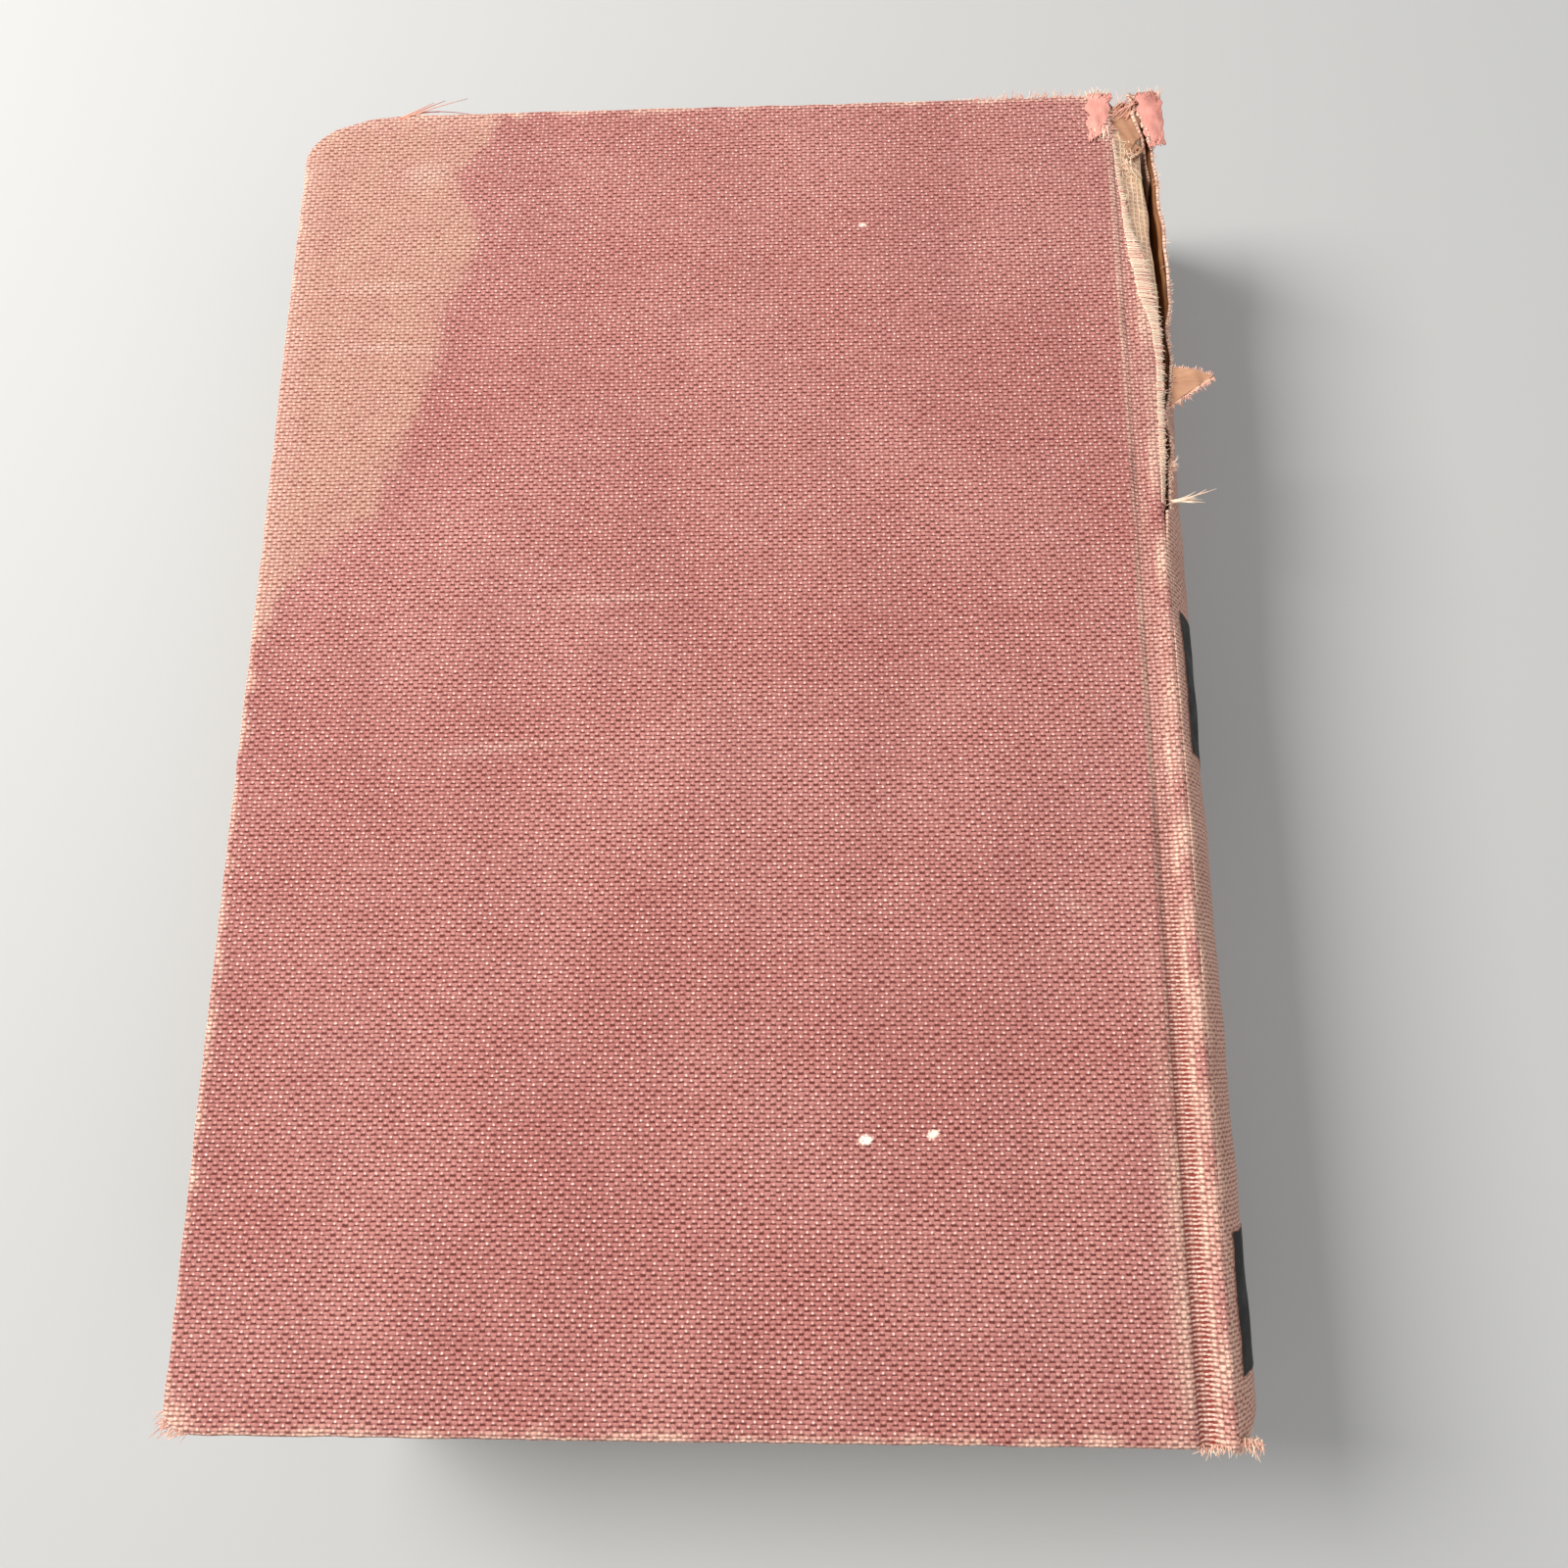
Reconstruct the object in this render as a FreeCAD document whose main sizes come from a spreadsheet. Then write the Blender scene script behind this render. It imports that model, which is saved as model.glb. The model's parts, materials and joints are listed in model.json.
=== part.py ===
import FreeCAD, Part
import os

import Sketcher

# A case-bound prayer book in worn cloth, lying shut on its lower cover.
# +X runs from the fore-edge to the spine, +Y from the tail to the head, +Z up.
# The origin is under the middle of the shut book. All sizes are in millimetres.

SECTIONS = 20           # folded gatherings in the text block
FIXED_SECTIONS = 14     # the lower ones, which stay put when the upper cover opens
SEWING_STATIONS = 6     # places where the thread crosses the back of the block
SKETCH_START = 18.0     # a sketch's sides before its formulas are solved
CUTTER_MARGIN = 1.0     # how far a cutting box runs past what it cuts

SIZES = {
    "case_height": 216.0,     # head to tail, outside the cloth
    "case_thick": 37.0,       # lower cloth to upper cloth
    "board_width": 140.8,     # fore-edge to joint
    "board_thick": 2.6,
    "board_corner": 1.6,      # radius of the two fore-edge corners
    "cloth_thick": 0.45,
    "turn_in": 15.0,          # cloth folded over the inside of a board
    "joint_width": 5.35,      # board edge to spine shoulder
    "hinge_inset": 2.0,       # board edge to the line where the cloth bends
    "hinge_gap": 0.1,         # between cover cloth and spine cloth at that line
    "shoulder_drop": 0.3,     # shoulder below the face of the cover
    "spine_bulge": 7.4,       # how far the rounded spine stands past the shoulder
    "inlay_thick": 0.8,
    "hollow_gap": 0.9,        # open space between the inlay and the lined back
    "lining_thick": 0.3,
    "lining_inset": 3.0,      # short of the leaves at head and tail
    "mull_thick": 0.3,
    "mull_inset": 6.0,
    "thread_thick": 0.4,
    "thread_inset": 14.0,     # outer sewing stations from head and tail
    "square": 3.0,            # how far the boards stand past the leaves
    "paper_thick": 0.2,
    "leaf_gap": 0.05,         # air between sections, flyleaves and pastedowns
    "fold_width": 3.0,        # sewn fold that stays with the back
    "bend_width": 6.0,        # leaves beyond it that flex as they turn
    "fold_gap": 0.3,
    "bead_radius": 0.9,       # headband
    "tear_length": 79.0,      # split along the upper shoulder, from the head
    "tear_inset": 0.6,        # the split starts this far before the shoulder
    "tear_width": 2.2,
    "tear_depth": 6.0,
    "label_thick": 0.12,
    "label_edge": 2.2,        # label edge past the shoulder
    "title_top": 96.0,        # from the head
    "title_height": 23.5,
    "foot_top": 189.0,
    "foot_height": 18.5,
}

doc = FreeCAD.newDocument("prayer_book")
parts = []


def make_sheet():
    """The driving sizes, one row each: name, value."""
    sheet = doc.addObject("Spreadsheet::Sheet", "Sizes")
    for row, (alias, value) in enumerate(SIZES.items(), start=1):
        sheet.set(f"A{row}", alias)
        sheet.set(f"B{row}", str(value))
        sheet.setAlias(f"B{row}", alias)
    doc.recompute()


def sized(text):
    """Turn words such as <case_thick> in a formula into references to the sheet."""
    for alias in sorted(SIZES, key=len, reverse=True):
        text = text.replace(f"<{alias}>", f"Sizes.{alias}")
    return f"({text})"


# Formulas shared by several pieces. Heights are from the floor, and x runs from the
# fore-edge of the case until at_x() moves it to the middle of the book.
HALF_HEIGHT = sized("<case_height> / 2")
HALF_THICK = sized("<case_thick> / 2")
BOARD_EDGE = sized("<cloth_thick> + <board_width>")
SHOULDER = f"({BOARD_EDGE} + Sizes.joint_width)"
HINGE_X = f"({BOARD_EDGE} + Sizes.hinge_inset)"
SPINE_REACH = f"({SHOULDER} + Sizes.spine_bulge)"
SPINE_RISE = f"({HALF_THICK} - Sizes.shoulder_drop)"
SPINE_RADIUS = f"(({SPINE_RISE} ^ 2 + Sizes.spine_bulge ^ 2) / (2 * Sizes.spine_bulge))"
ARC_X = f"({SPINE_REACH} - {SPINE_RADIUS})"
INLAY_RADIUS = f"({SPINE_RADIUS} - Sizes.cloth_thick)"
HOLLOW_RADIUS = f"({INLAY_RADIUS} - Sizes.inlay_thick)"
LINING_RADIUS = f"({HOLLOW_RADIUS} - Sizes.hollow_gap)"
MULL_RADIUS = f"({LINING_RADIUS} - Sizes.lining_thick)"
THREAD_RADIUS = f"({MULL_RADIUS} - Sizes.mull_thick)"
BACK_RADIUS = f"({THREAD_RADIUS} - Sizes.thread_thick)"
CASE_WALL = sized("<cloth_thick> + <board_thick> + <paper_thick>")
BLOCK_FLOOR = f"({CASE_WALL} + " + sized("2 * <leaf_gap> + <paper_thick>") + ")"
PITCH = f"((Sizes.case_thick - 2 * {BLOCK_FLOOR}) / {SECTIONS})"
SECTION_THICK = f"({PITCH} - Sizes.leaf_gap)"
LEAF_HALF = f"({HALF_HEIGHT} - Sizes.square)"
SHOULDER_EDGE = f"({HINGE_X} + Sizes.hinge_gap)"
INLAY_RISE = f"({SPINE_RISE} - Sizes.cloth_thick)"


def at_x(text):
    """x in the book's own frame: the shut book is centred on the origin."""
    return f"({text} - ({SPINE_REACH} + Sizes.label_thick) / 2)"


def place(item, x="0", y="0", z="0"):
    for axis, text in zip("xyz", (x, y, z)):
        item.setExpression(f"Placement.Base.{axis}", text)


def box(name, x, y, z):
    """A box from three (low, high) pairs of formulas, x from the fore-edge."""
    item = doc.addObject("Part::Box", name)
    for size, (low, high) in zip(("Length", "Width", "Height"), (x, y, z)):
        item.setExpression(size, f"{high} - {low}")
    place(item, at_x(x[0]), y[0], z[0])
    return item


def centred(half):
    return (f"(-{half})", half)


def rod(name, radius, x, y, z):
    """A cylinder along +Y at (x, z), between a (low, high) pair of y formulas."""
    item = doc.addObject("Part::Cylinder", name)
    item.setExpression("Radius", radius)
    item.setExpression("Height", f"{y[1]} - {y[0]}")
    item.Placement.Rotation = FreeCAD.Rotation(FreeCAD.Vector(1, 0, 0), -90)
    place(item, at_x(x), y[0], z)
    return item


def joined(name, items):
    item = doc.addObject("Part::MultiFuse", name)
    item.Shapes = items
    return item


def cut(name, base, tool):
    item = doc.addObject("Part::Cut", name)
    item.Base = base
    item.Tool = tool
    return item


def common(name, items):
    item = doc.addObject("Part::MultiCommon", name)
    item.Shapes = items
    return item


def arc_shell(name, inner, outer, y, x_from, rise):
    """A curved wall of the spine: between two radii, past x_from, within +-rise of mid height."""
    wall = cut(
        f"{name}_wall",
        rod(f"{name}_outside", outer, ARC_X, y, HALF_THICK),
        rod(f"{name}_inside", inner, ARC_X, y, HALF_THICK),
    )
    reach = (x_from, f"({SPINE_REACH} + {CUTTER_MARGIN})")
    keep = box(f"{name}_keep", reach, y, (f"({HALF_THICK} - {rise})", f"({HALF_THICK} + {rise})"))
    return common(name, [wall, keep])


def finished(item, name):
    """Name a sub-part and list it for writing."""
    item.Label = name
    parts.append(item)
    return item


# ---- the two covers ------------------------------------------------------------------------


def outline(body, name, length, width, height="0"):
    """A rectangle centred on the body's own z axis, at a height above its XY plane."""
    sketch = body.newObject("Sketcher::SketchObject", name)
    plane = [f for f in body.Origin.OriginFeatures if f.Role == "XY_Plane"][0]
    sketch.AttachmentSupport = [(plane, "")]
    sketch.MapMode = "FlatFace"
    sketch.setExpression("AttachmentOffset.Base.z", height)
    half = SKETCH_START / 2
    signs = ((-1, -1), (1, -1), (1, 1), (-1, 1))
    corners = [FreeCAD.Vector(x * half, y * half, 0) for x, y in signs]
    for start, end in zip(corners, corners[1:] + corners[:1]):
        sketch.addGeometry(Part.LineSegment(start, end))
    for line in range(4):
        sketch.addConstraint(Sketcher.Constraint("Coincident", line, 2, (line + 1) % 4, 1))
        direction = "Vertical" if line % 2 else "Horizontal"
        sketch.addConstraint(Sketcher.Constraint(direction, line))
    sketch.addConstraint(Sketcher.Constraint("Symmetric", 0, 1, 2, 1, -1, 1))
    across = sketch.addConstraint(Sketcher.Constraint("DistanceX", 0, 1, 0, 2, SKETCH_START))
    along = sketch.addConstraint(Sketcher.Constraint("DistanceY", 1, 1, 1, 2, SKETCH_START))
    sketch.setExpression(f"Constraints[{across}]", length)
    sketch.setExpression(f"Constraints[{along}]", width)
    return sketch


def pad(body, name, sketch, thickness):
    plate = body.newObject("PartDesign::Pad", name)
    plate.Profile = sketch
    plate.setExpression("Length", thickness)
    doc.recompute()
    return plate


def round_corners(body, plate, radius):
    """Round the upright edges at the plate's low-x corners."""
    low_x = plate.Shape.BoundBox.XMin
    edges = []
    for index, edge in enumerate(plate.Shape.Edges, start=1):
        at_corner = all(abs(v.Point.x - low_x) < 1e-6 for v in edge.Vertexes)
        if at_corner and edge.BoundBox.ZLength > edge.BoundBox.YLength:
            edges.append(f"Edge{index}")
    fillet = body.newObject("PartDesign::Fillet", f"{body.Name}_corners")
    fillet.Base = (plate, edges)
    fillet.setExpression("Radius", radius)
    doc.recompute()


def lay(body, side, x, low):
    """Put a body on the lower cover at height low, or half a turn over on the upper one."""
    if side == "lower":
        place(body, at_x(x), z=low)
        return
    body.Placement.Rotation = FreeCAD.Rotation(FreeCAD.Vector(1, 0, 0), 180)
    place(body, at_x(x), z=f"(Sizes.case_thick - {low})")


def heights(side, low, high):
    """A (low, high) pair on the lower cover, or its mirror on the upper one."""
    if side == "lower":
        return (low, high)
    return (f"(Sizes.case_thick - {high})", f"(Sizes.case_thick - {low})")


def make_board(side):
    """A board whose inner face is pressed down at three edges, where the cloth turns in."""
    name = f"{side}_board"
    body = doc.addObject("PartDesign::Body", name)
    height = sized("<case_height> - 2 * <cloth_thick>")
    outer = outline(body, f"{name}_outline", "Sizes.board_width", height)
    plate = pad(body, f"{name}_plate", outer, sized("<board_thick> - <cloth_thick>"))
    round_corners(body, plate, "Sizes.board_corner")
    raised = outline(
        body,
        f"{name}_raised_outline",
        sized("<board_width> + <cloth_thick> - <turn_in>"),
        sized("<case_height> - 2 * <turn_in>"),
        sized("<board_thick> - <cloth_thick>"),
    )
    raised.setExpression("AttachmentOffset.Base.x", sized("(<turn_in> - <cloth_thick>) / 2"))
    pad(body, f"{name}_raised", raised, "Sizes.cloth_thick")
    lay(body, side, sized("<cloth_thick> + <board_width> / 2"), "Sizes.cloth_thick")
    return finished(body, name)


def make_cover_cloth(side, board):
    """Cloth over one board: a slab less the board, and this cover's half of the joint."""
    name = f"{side}_cover_cloth"
    body = doc.addObject("PartDesign::Body", f"{name}_slab")
    outer = outline(body, f"{name}_outline", BOARD_EDGE, "Sizes.case_height")
    plate = pad(body, f"{name}_plate", outer, sized("<board_thick> + <cloth_thick>"))
    round_corners(body, plate, sized("<board_corner> + <cloth_thick>"))
    lay(body, side, f"{BOARD_EDGE} / 2", "0")
    joint = box(
        f"{name}_joint",
        (BOARD_EDGE, f"({HINGE_X} - Sizes.hinge_gap / 2)"),
        centred(HALF_HEIGHT),
        heights(side, "Sizes.shoulder_drop", sized("<shoulder_drop> + <cloth_thick>")),
    )
    return finished(joined(name, [cut(f"{name}_wrap", body, board), joint]), name)


def make_pastedown(side):
    """The endpaper glued inside a board, over the turn-ins."""
    name = f"{side}_pastedown"
    z = heights(side, sized("<cloth_thick> + <board_thick>"), CASE_WALL)
    return finished(box(name, ("Sizes.square", BOARD_EDGE), centred(LEAF_HALF), z), name)


def make_cover(side):
    board = make_board(side)
    make_cover_cloth(side, board)
    make_pastedown(side)


# ---- the spine of the case -----------------------------------------------------------------


def make_tear(name):
    """The split along the upper shoulder, open at the head."""
    start = f"({SHOULDER} - Sizes.tear_inset)"
    return box(
        name,
        (start, f"({start} + Sizes.tear_width)"),
        (f"({HALF_HEIGHT} - Sizes.tear_length)", f"({HALF_HEIGHT} + {CUTTER_MARGIN})"),
        (sized("<case_thick> - <tear_depth>"), f"(Sizes.case_thick + {CUTTER_MARGIN})"),
    )


def make_spine_cloth():
    """Cloth round the spine, its turned-in ends, and its half of both joints."""
    name = "spine_cloth"
    whole = centred(HALF_HEIGHT)
    layers = [arc_shell(f"{name}_outer", INLAY_RADIUS, SPINE_RADIUS, whole, SHOULDER_EDGE, SPINE_RISE)]
    turned = f"({HOLLOW_RADIUS} - Sizes.cloth_thick)"
    ends = {
        "head": (f"({HALF_HEIGHT} - Sizes.turn_in)", HALF_HEIGHT),
        "tail": (f"-{HALF_HEIGHT}", f"(Sizes.turn_in - {HALF_HEIGHT})"),
    }
    lips = {
        "head": (f"({HALF_HEIGHT} - Sizes.cloth_thick)", HALF_HEIGHT),
        "tail": (f"-{HALF_HEIGHT}", f"(Sizes.cloth_thick - {HALF_HEIGHT})"),
    }
    for end, y in ends.items():
        inner = arc_shell(f"{name}_{end}_turn", turned, HOLLOW_RADIUS, y, SHOULDER_EDGE, INLAY_RISE)
        lip = arc_shell(f"{name}_{end}_lip", turned, SPINE_RADIUS, lips[end], SHOULDER_EDGE, INLAY_RISE)
        layers += [inner, lip]
    for side in ("lower", "upper"):
        z = heights(side, "Sizes.shoulder_drop", sized("<shoulder_drop> + <cloth_thick>"))
        x = (f"({HINGE_X} + Sizes.hinge_gap / 2)", SHOULDER)
        layers.append(box(f"{name}_{side}_joint", x, whole, z))
    return finished(cut(name, joined(f"{name}_whole", layers), make_tear(f"{name}_tear")), name)


def make_spine_inlay():
    """The kraft paper strip that stiffens the spine."""
    name = "spine_inlay"
    y = centred(f"({HALF_HEIGHT} - Sizes.cloth_thick)")
    whole = arc_shell(f"{name}_whole", HOLLOW_RADIUS, INLAY_RADIUS, y, SHOULDER_EDGE, INLAY_RISE)
    return finished(cut(name, whole, make_tear(f"{name}_tear")), name)


def make_label(name, top, height):
    """A thin blank panel on the outside of the spine, top millimetres below the head."""
    y = (f"({HALF_HEIGHT} - {top} - {height})", f"({HALF_HEIGHT} - {top})")
    outer = f"({SPINE_RADIUS} + Sizes.label_thick)"
    x_from = f"({SHOULDER} + Sizes.label_edge)"
    return finished(arc_shell(name, SPINE_RADIUS, outer, y, x_from, SPINE_RISE), name)


# ---- the text block ------------------------------------------------------------------------


def fold_x(index):
    """Centre of the rounded fold of one section, counted from 0 at the bottom."""
    offset = f"({index - (SECTIONS - 1) / 2} * {PITCH})"
    return f"({ARC_X} + sqrt(({BACK_RADIUS} - {SECTION_THICK} / 2) ^ 2 - {offset} ^ 2))"


def section_z(index):
    low = f"({BLOCK_FLOOR} + Sizes.leaf_gap / 2 + {index} * {PITCH})"
    return (low, f"({low} + {SECTION_THICK})")


def fore_x(index):
    """The fore-edge repeats the curve of the back."""
    return f"(Sizes.square + {fold_x(index)} - {fold_x(SECTIONS - 1)})"


def leaf_pivot_x():
    """Where the turning leaves leave the sewn folds."""
    return f"({fold_x(SECTIONS - 1)} + {SECTION_THICK} / 2 - Sizes.fold_width)"


def fold_of(name, index, x_from):
    """A section's spine side: flat leaves from x_from, and the rounded fold."""
    z = section_z(index)
    flat = box(f"{name}_flat", (x_from, fold_x(index)), centred(LEAF_HALF), z)
    middle = f"({z[0]} + {SECTION_THICK} / 2)"
    roll = rod(f"{name}_roll", f"({SECTION_THICK} / 2)", fold_x(index), centred(LEAF_HALF), middle)
    return joined(name, [flat, roll])


def make_fixed_section(index):
    name = f"section_{index + 1:02d}"
    return finished(fold_of(name, index, fore_x(index)), name)


def make_turning_leaves(index):
    """The free part of an upper section, short of the strip of paper that bends."""
    name = f"section_{index + 1:02d}_leaves"
    x = (fore_x(index), f"({leaf_pivot_x()} - Sizes.bend_width)")
    return finished(box(name, x, centred(LEAF_HALF), section_z(index)), name)


def make_upper_folds():
    """The sewn folds of the upper sections, which stay with the back."""
    name = "upper_section_folds"
    start = f"({leaf_pivot_x()} + Sizes.fold_gap)"
    folds = [fold_of(f"{name}_{i + 1}", i, start) for i in range(FIXED_SECTIONS, SECTIONS)]
    group = doc.addObject("Part::Compound", name)
    group.Links = folds
    return finished(group, name)


def make_flyleaf(side):
    """The free half of an endpaper. The upper one turns, so it stops at the bend."""
    name = {"upper": "front_flyleaf", "lower": "back_flyleaf"}[side]
    low = f"({CASE_WALL} + Sizes.leaf_gap)"
    z = heights(side, low, f"({low} + Sizes.paper_thick)")
    end = {"upper": f"({leaf_pivot_x()} - Sizes.bend_width)", "lower": fold_x(0)}[side]
    return finished(box(name, ("Sizes.square", end), centred(LEAF_HALF), z), name)


def back_layer(name, inner, outer, inset):
    """Cloth or paper glued along the rounded back of the block."""
    y = centred(f"({LEAF_HALF} - {inset})")
    rise = f"({HALF_THICK} - {BLOCK_FLOOR})"
    return finished(arc_shell(name, inner, outer, y, SHOULDER_EDGE, rise), name)


def make_sewing_threads():
    """The thread where it crosses the back, at evenly spaced stations."""
    name = "sewing_threads"
    rise = f"({HALF_THICK} - {BLOCK_FLOOR})"
    runs = []
    for station in range(SEWING_STATIONS):
        share = station / (SEWING_STATIONS - 1) - 0.5
        middle = f"({share} * 2 * ({LEAF_HALF} - Sizes.thread_inset))"
        y = (f"({middle} - Sizes.thread_thick)", f"({middle} + Sizes.thread_thick)")
        runs.append(arc_shell(f"{name}_{station}", BACK_RADIUS, THREAD_RADIUS, y, SHOULDER_EDGE, rise))
    group = doc.addObject("Part::Compound", name)
    group.Links = runs
    return finished(group, name)


def make_headband(name, sign):
    """A rolled band on the end of the block's back, sign +1 at the head and -1 at the tail."""
    ring = doc.addObject("Part::Torus", f"{name}_ring")
    ring.setExpression("Radius1", f"{BACK_RADIUS} - Sizes.bead_radius")
    ring.setExpression("Radius2", "Sizes.bead_radius")
    ring.Placement.Rotation = FreeCAD.Rotation(FreeCAD.Vector(1, 0, 0), -90)
    middle = f"({sign} * ({LEAF_HALF} + Sizes.bead_radius))"
    place(ring, at_x(ARC_X), middle, HALF_THICK)
    reach = (SHOULDER_EDGE, f"({SPINE_REACH} + {CUTTER_MARGIN})")
    past = f"(Sizes.bead_radius + {CUTTER_MARGIN})"
    along = (f"({middle} - {past})", f"({middle} + {past})")
    rise = f"({HALF_THICK} - {BLOCK_FLOOR})"
    keep = box(f"{name}_keep", reach, along, (f"({HALF_THICK} - {rise})", f"({HALF_THICK} + {rise})"))
    return finished(common(name, [ring, keep]), name)


def make_block():
    for index in range(FIXED_SECTIONS):
        make_fixed_section(index)
    for index in range(FIXED_SECTIONS, SECTIONS):
        make_turning_leaves(index)
    make_upper_folds()
    make_flyleaf("upper")
    make_flyleaf("lower")
    make_sewing_threads()
    back_layer("mull", THREAD_RADIUS, MULL_RADIUS, "Sizes.mull_inset")
    back_layer("spine_lining", MULL_RADIUS, LINING_RADIUS, "Sizes.lining_inset")
    make_headband("head_band", 1)
    make_headband("tail_band", -1)


# ---- check and write -----------------------------------------------------------------------


def check():
    for item in doc.Objects:
        faults = [state for state in item.State if state in ("Invalid", "Error")]
        if faults:
            raise RuntimeError(f"{item.Name} is {faults}")
    for item in parts:
        if item.Shape.isNull() or not item.Shape.isValid() or not item.Shape.Solids:
            raise RuntimeError(f"{item.Label} has no valid solid")


def write():
    os.makedirs("parts", exist_ok=True)
    for item in parts:
        item.Shape.exportStep(f"parts/{item.Label}.step")
        print(f"{item.Label}: {len(item.Shape.Solids)} solids, {item.Shape.Volume:.1f} mm3")


def show_axes():
    """The hinge lines, for the record of moving parts."""
    probe = doc.addObject("Part::Box", "axis_probe")
    lines = {"covers": (HINGE_X, "0"), "leaves": (leaf_pivot_x(), section_z(SECTIONS - 1)[1])}
    for name, (x, z) in lines.items():
        place(probe, at_x(x), "0", z)
        doc.recompute()
        print(f"{name} turn about x {probe.Placement.Base.x:.3f}, z {probe.Placement.Base.z:.3f}")
    doc.removeObject(probe.Name)


make_sheet()
make_cover("lower")
make_cover("upper")
make_spine_cloth()
make_spine_inlay()
make_label("title_panel", "Sizes.title_top", "Sizes.title_height")
make_label("foot_panel", "Sizes.foot_top", "Sizes.foot_height")
make_block()
doc.recompute()
check()
write()
show_axes()
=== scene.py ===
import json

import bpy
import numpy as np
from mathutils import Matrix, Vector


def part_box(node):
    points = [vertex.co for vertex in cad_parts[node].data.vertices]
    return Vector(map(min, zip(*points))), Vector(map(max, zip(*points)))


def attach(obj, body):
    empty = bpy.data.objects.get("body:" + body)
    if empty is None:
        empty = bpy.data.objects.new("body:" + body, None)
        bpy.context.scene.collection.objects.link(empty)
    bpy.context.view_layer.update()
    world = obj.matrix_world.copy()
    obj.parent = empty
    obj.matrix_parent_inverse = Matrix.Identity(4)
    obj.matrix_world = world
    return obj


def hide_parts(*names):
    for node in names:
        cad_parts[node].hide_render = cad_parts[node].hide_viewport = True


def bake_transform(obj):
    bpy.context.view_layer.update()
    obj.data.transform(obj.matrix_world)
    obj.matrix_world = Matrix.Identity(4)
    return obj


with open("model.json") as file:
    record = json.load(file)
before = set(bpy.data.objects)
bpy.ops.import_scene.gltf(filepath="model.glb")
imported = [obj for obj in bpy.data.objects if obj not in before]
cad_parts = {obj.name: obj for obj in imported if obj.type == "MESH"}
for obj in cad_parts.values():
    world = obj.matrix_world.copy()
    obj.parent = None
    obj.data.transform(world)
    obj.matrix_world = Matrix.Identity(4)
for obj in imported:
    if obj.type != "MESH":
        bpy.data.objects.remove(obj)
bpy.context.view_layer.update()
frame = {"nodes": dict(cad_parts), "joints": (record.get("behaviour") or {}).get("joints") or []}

# %% [markdown]
# # A worn cloth prayer book
#
# The book is a case binding: two boards and a paper spine strip, all covered by one piece
# of buckram, round a block of twenty sewn sections. It lies shut on its lower cover.
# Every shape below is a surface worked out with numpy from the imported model's own boxes,
# so that a piece sits where the CAD has it. Lengths are in millimetres until a mesh is
# made, because a binder thinks in millimetres and the weave is well under one.

MM = 0.001


def node_box(node):
    """A node's lowest and highest corners, in millimetres."""
    return [np.array(corner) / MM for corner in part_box(node)]


cloth_low, cloth_high = node_box("upper_cover_cloth")
FORE, HEAD, TOP = cloth_low[0], cloth_high[1], cloth_high[2]
COVER_THICK = TOP - cloth_low[2]
BOARD_EDGE = node_box("upper_board")[1][0]
hinge = next(j for j in frame["joints"] if j["name"] == "upper_cover_hinge")
HINGE_X = hinge["pos_m"][0] / MM
spine_high = node_box("spine_cloth")[1]
SPINE_REACH = spine_high[0]
CLOTH_THICK = 0.42
SHOULDER_DROP = TOP - spine_high[2]
MIDDLE_Z = TOP / 2
SHOULDER_X = 69.54
bulge, rise = SPINE_REACH - SHOULDER_X, MIDDLE_Z - SHOULDER_DROP
SPINE_RADIUS = (rise**2 + bulge**2) / (2 * bulge)
ARC_X = SPINE_REACH - SPINE_RADIUS
print(f"cover {FORE:.1f}..{BOARD_EDGE:.1f}, hinge {HINGE_X:.2f}, spine radius {SPINE_RADIUS:.2f}")

# %% [markdown]
# ## The camera, the floor and the light
#
# The camera looks down from over the tail edge with a fairly wide lens, which is what makes
# the cover look wider at the tail than at the head. The floor is a plain pale sheet, and two
# big soft lamps stand for a window at the upper left and the room on the other side. Soft
# light shows a weave well, as long as most of it comes from one side.

# %% Camera, floor and lamps
CAMERA_AT = Vector((14.91, -55.78, 204.81)) * MM
LOOK = Vector((-0.0347, 0.2272, -0.9732)).normalized()
CAMERA_UP = Vector((0.0065, 0.9738, 0.2272))


def aimed(place, direction, up):
    """The matrix that puts an object at place, its -Z along direction and its +Y near up."""
    across = direction.cross(up).normalized()
    level = across.cross(direction)
    return Matrix.Translation(place) @ Matrix((across, level, -direction)).transposed().to_4x4()


lens = bpy.data.cameras.new("camera")
lens.lens, lens.sensor_width = 25.9, 36.0
lens.clip_start, lens.clip_end = 0.005, 20.0
camera = bpy.data.objects.new("camera", lens)
camera.matrix_world = aimed(CAMERA_AT, LOOK, CAMERA_UP)
bpy.context.scene.collection.objects.link(camera)
bpy.context.scene.camera = camera


def lamp(name, place, size, power, colour=(1.0, 1.0, 1.0)):
    """A square area lamp at place (mm), turned to the middle of the book."""
    data = bpy.data.lights.new(name, "AREA")
    data.size, data.energy, data.color = size * MM, power, colour
    light = bpy.data.objects.new(name, data)
    spot = Vector(place) * MM
    target = Vector((0.0, 0.0, MIDDLE_Z)) * MM
    light.matrix_world = aimed(spot, (target - spot).normalized(), Vector((0, 1, 0)))
    bpy.context.scene.collection.objects.link(light)


lamp("window_lamp", (-640, 260, 640), 420, 13.5, (1.0, 0.99, 0.97))
lamp("room_lamp", (480, -260, 820), 900, 3.6, (0.97, 0.985, 1.0))
world = bpy.data.worlds.new("room")
bpy.context.scene.world = world
world.use_nodes = True
world.node_tree.nodes["Background"].inputs["Color"].default_value = (1.0, 0.99, 0.98, 1.0)
world.node_tree.nodes["Background"].inputs["Strength"].default_value = 0.38
bpy.context.scene.view_settings.view_transform = "Standard"
print("camera", [round(v, 4) for v in camera.location])

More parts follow.
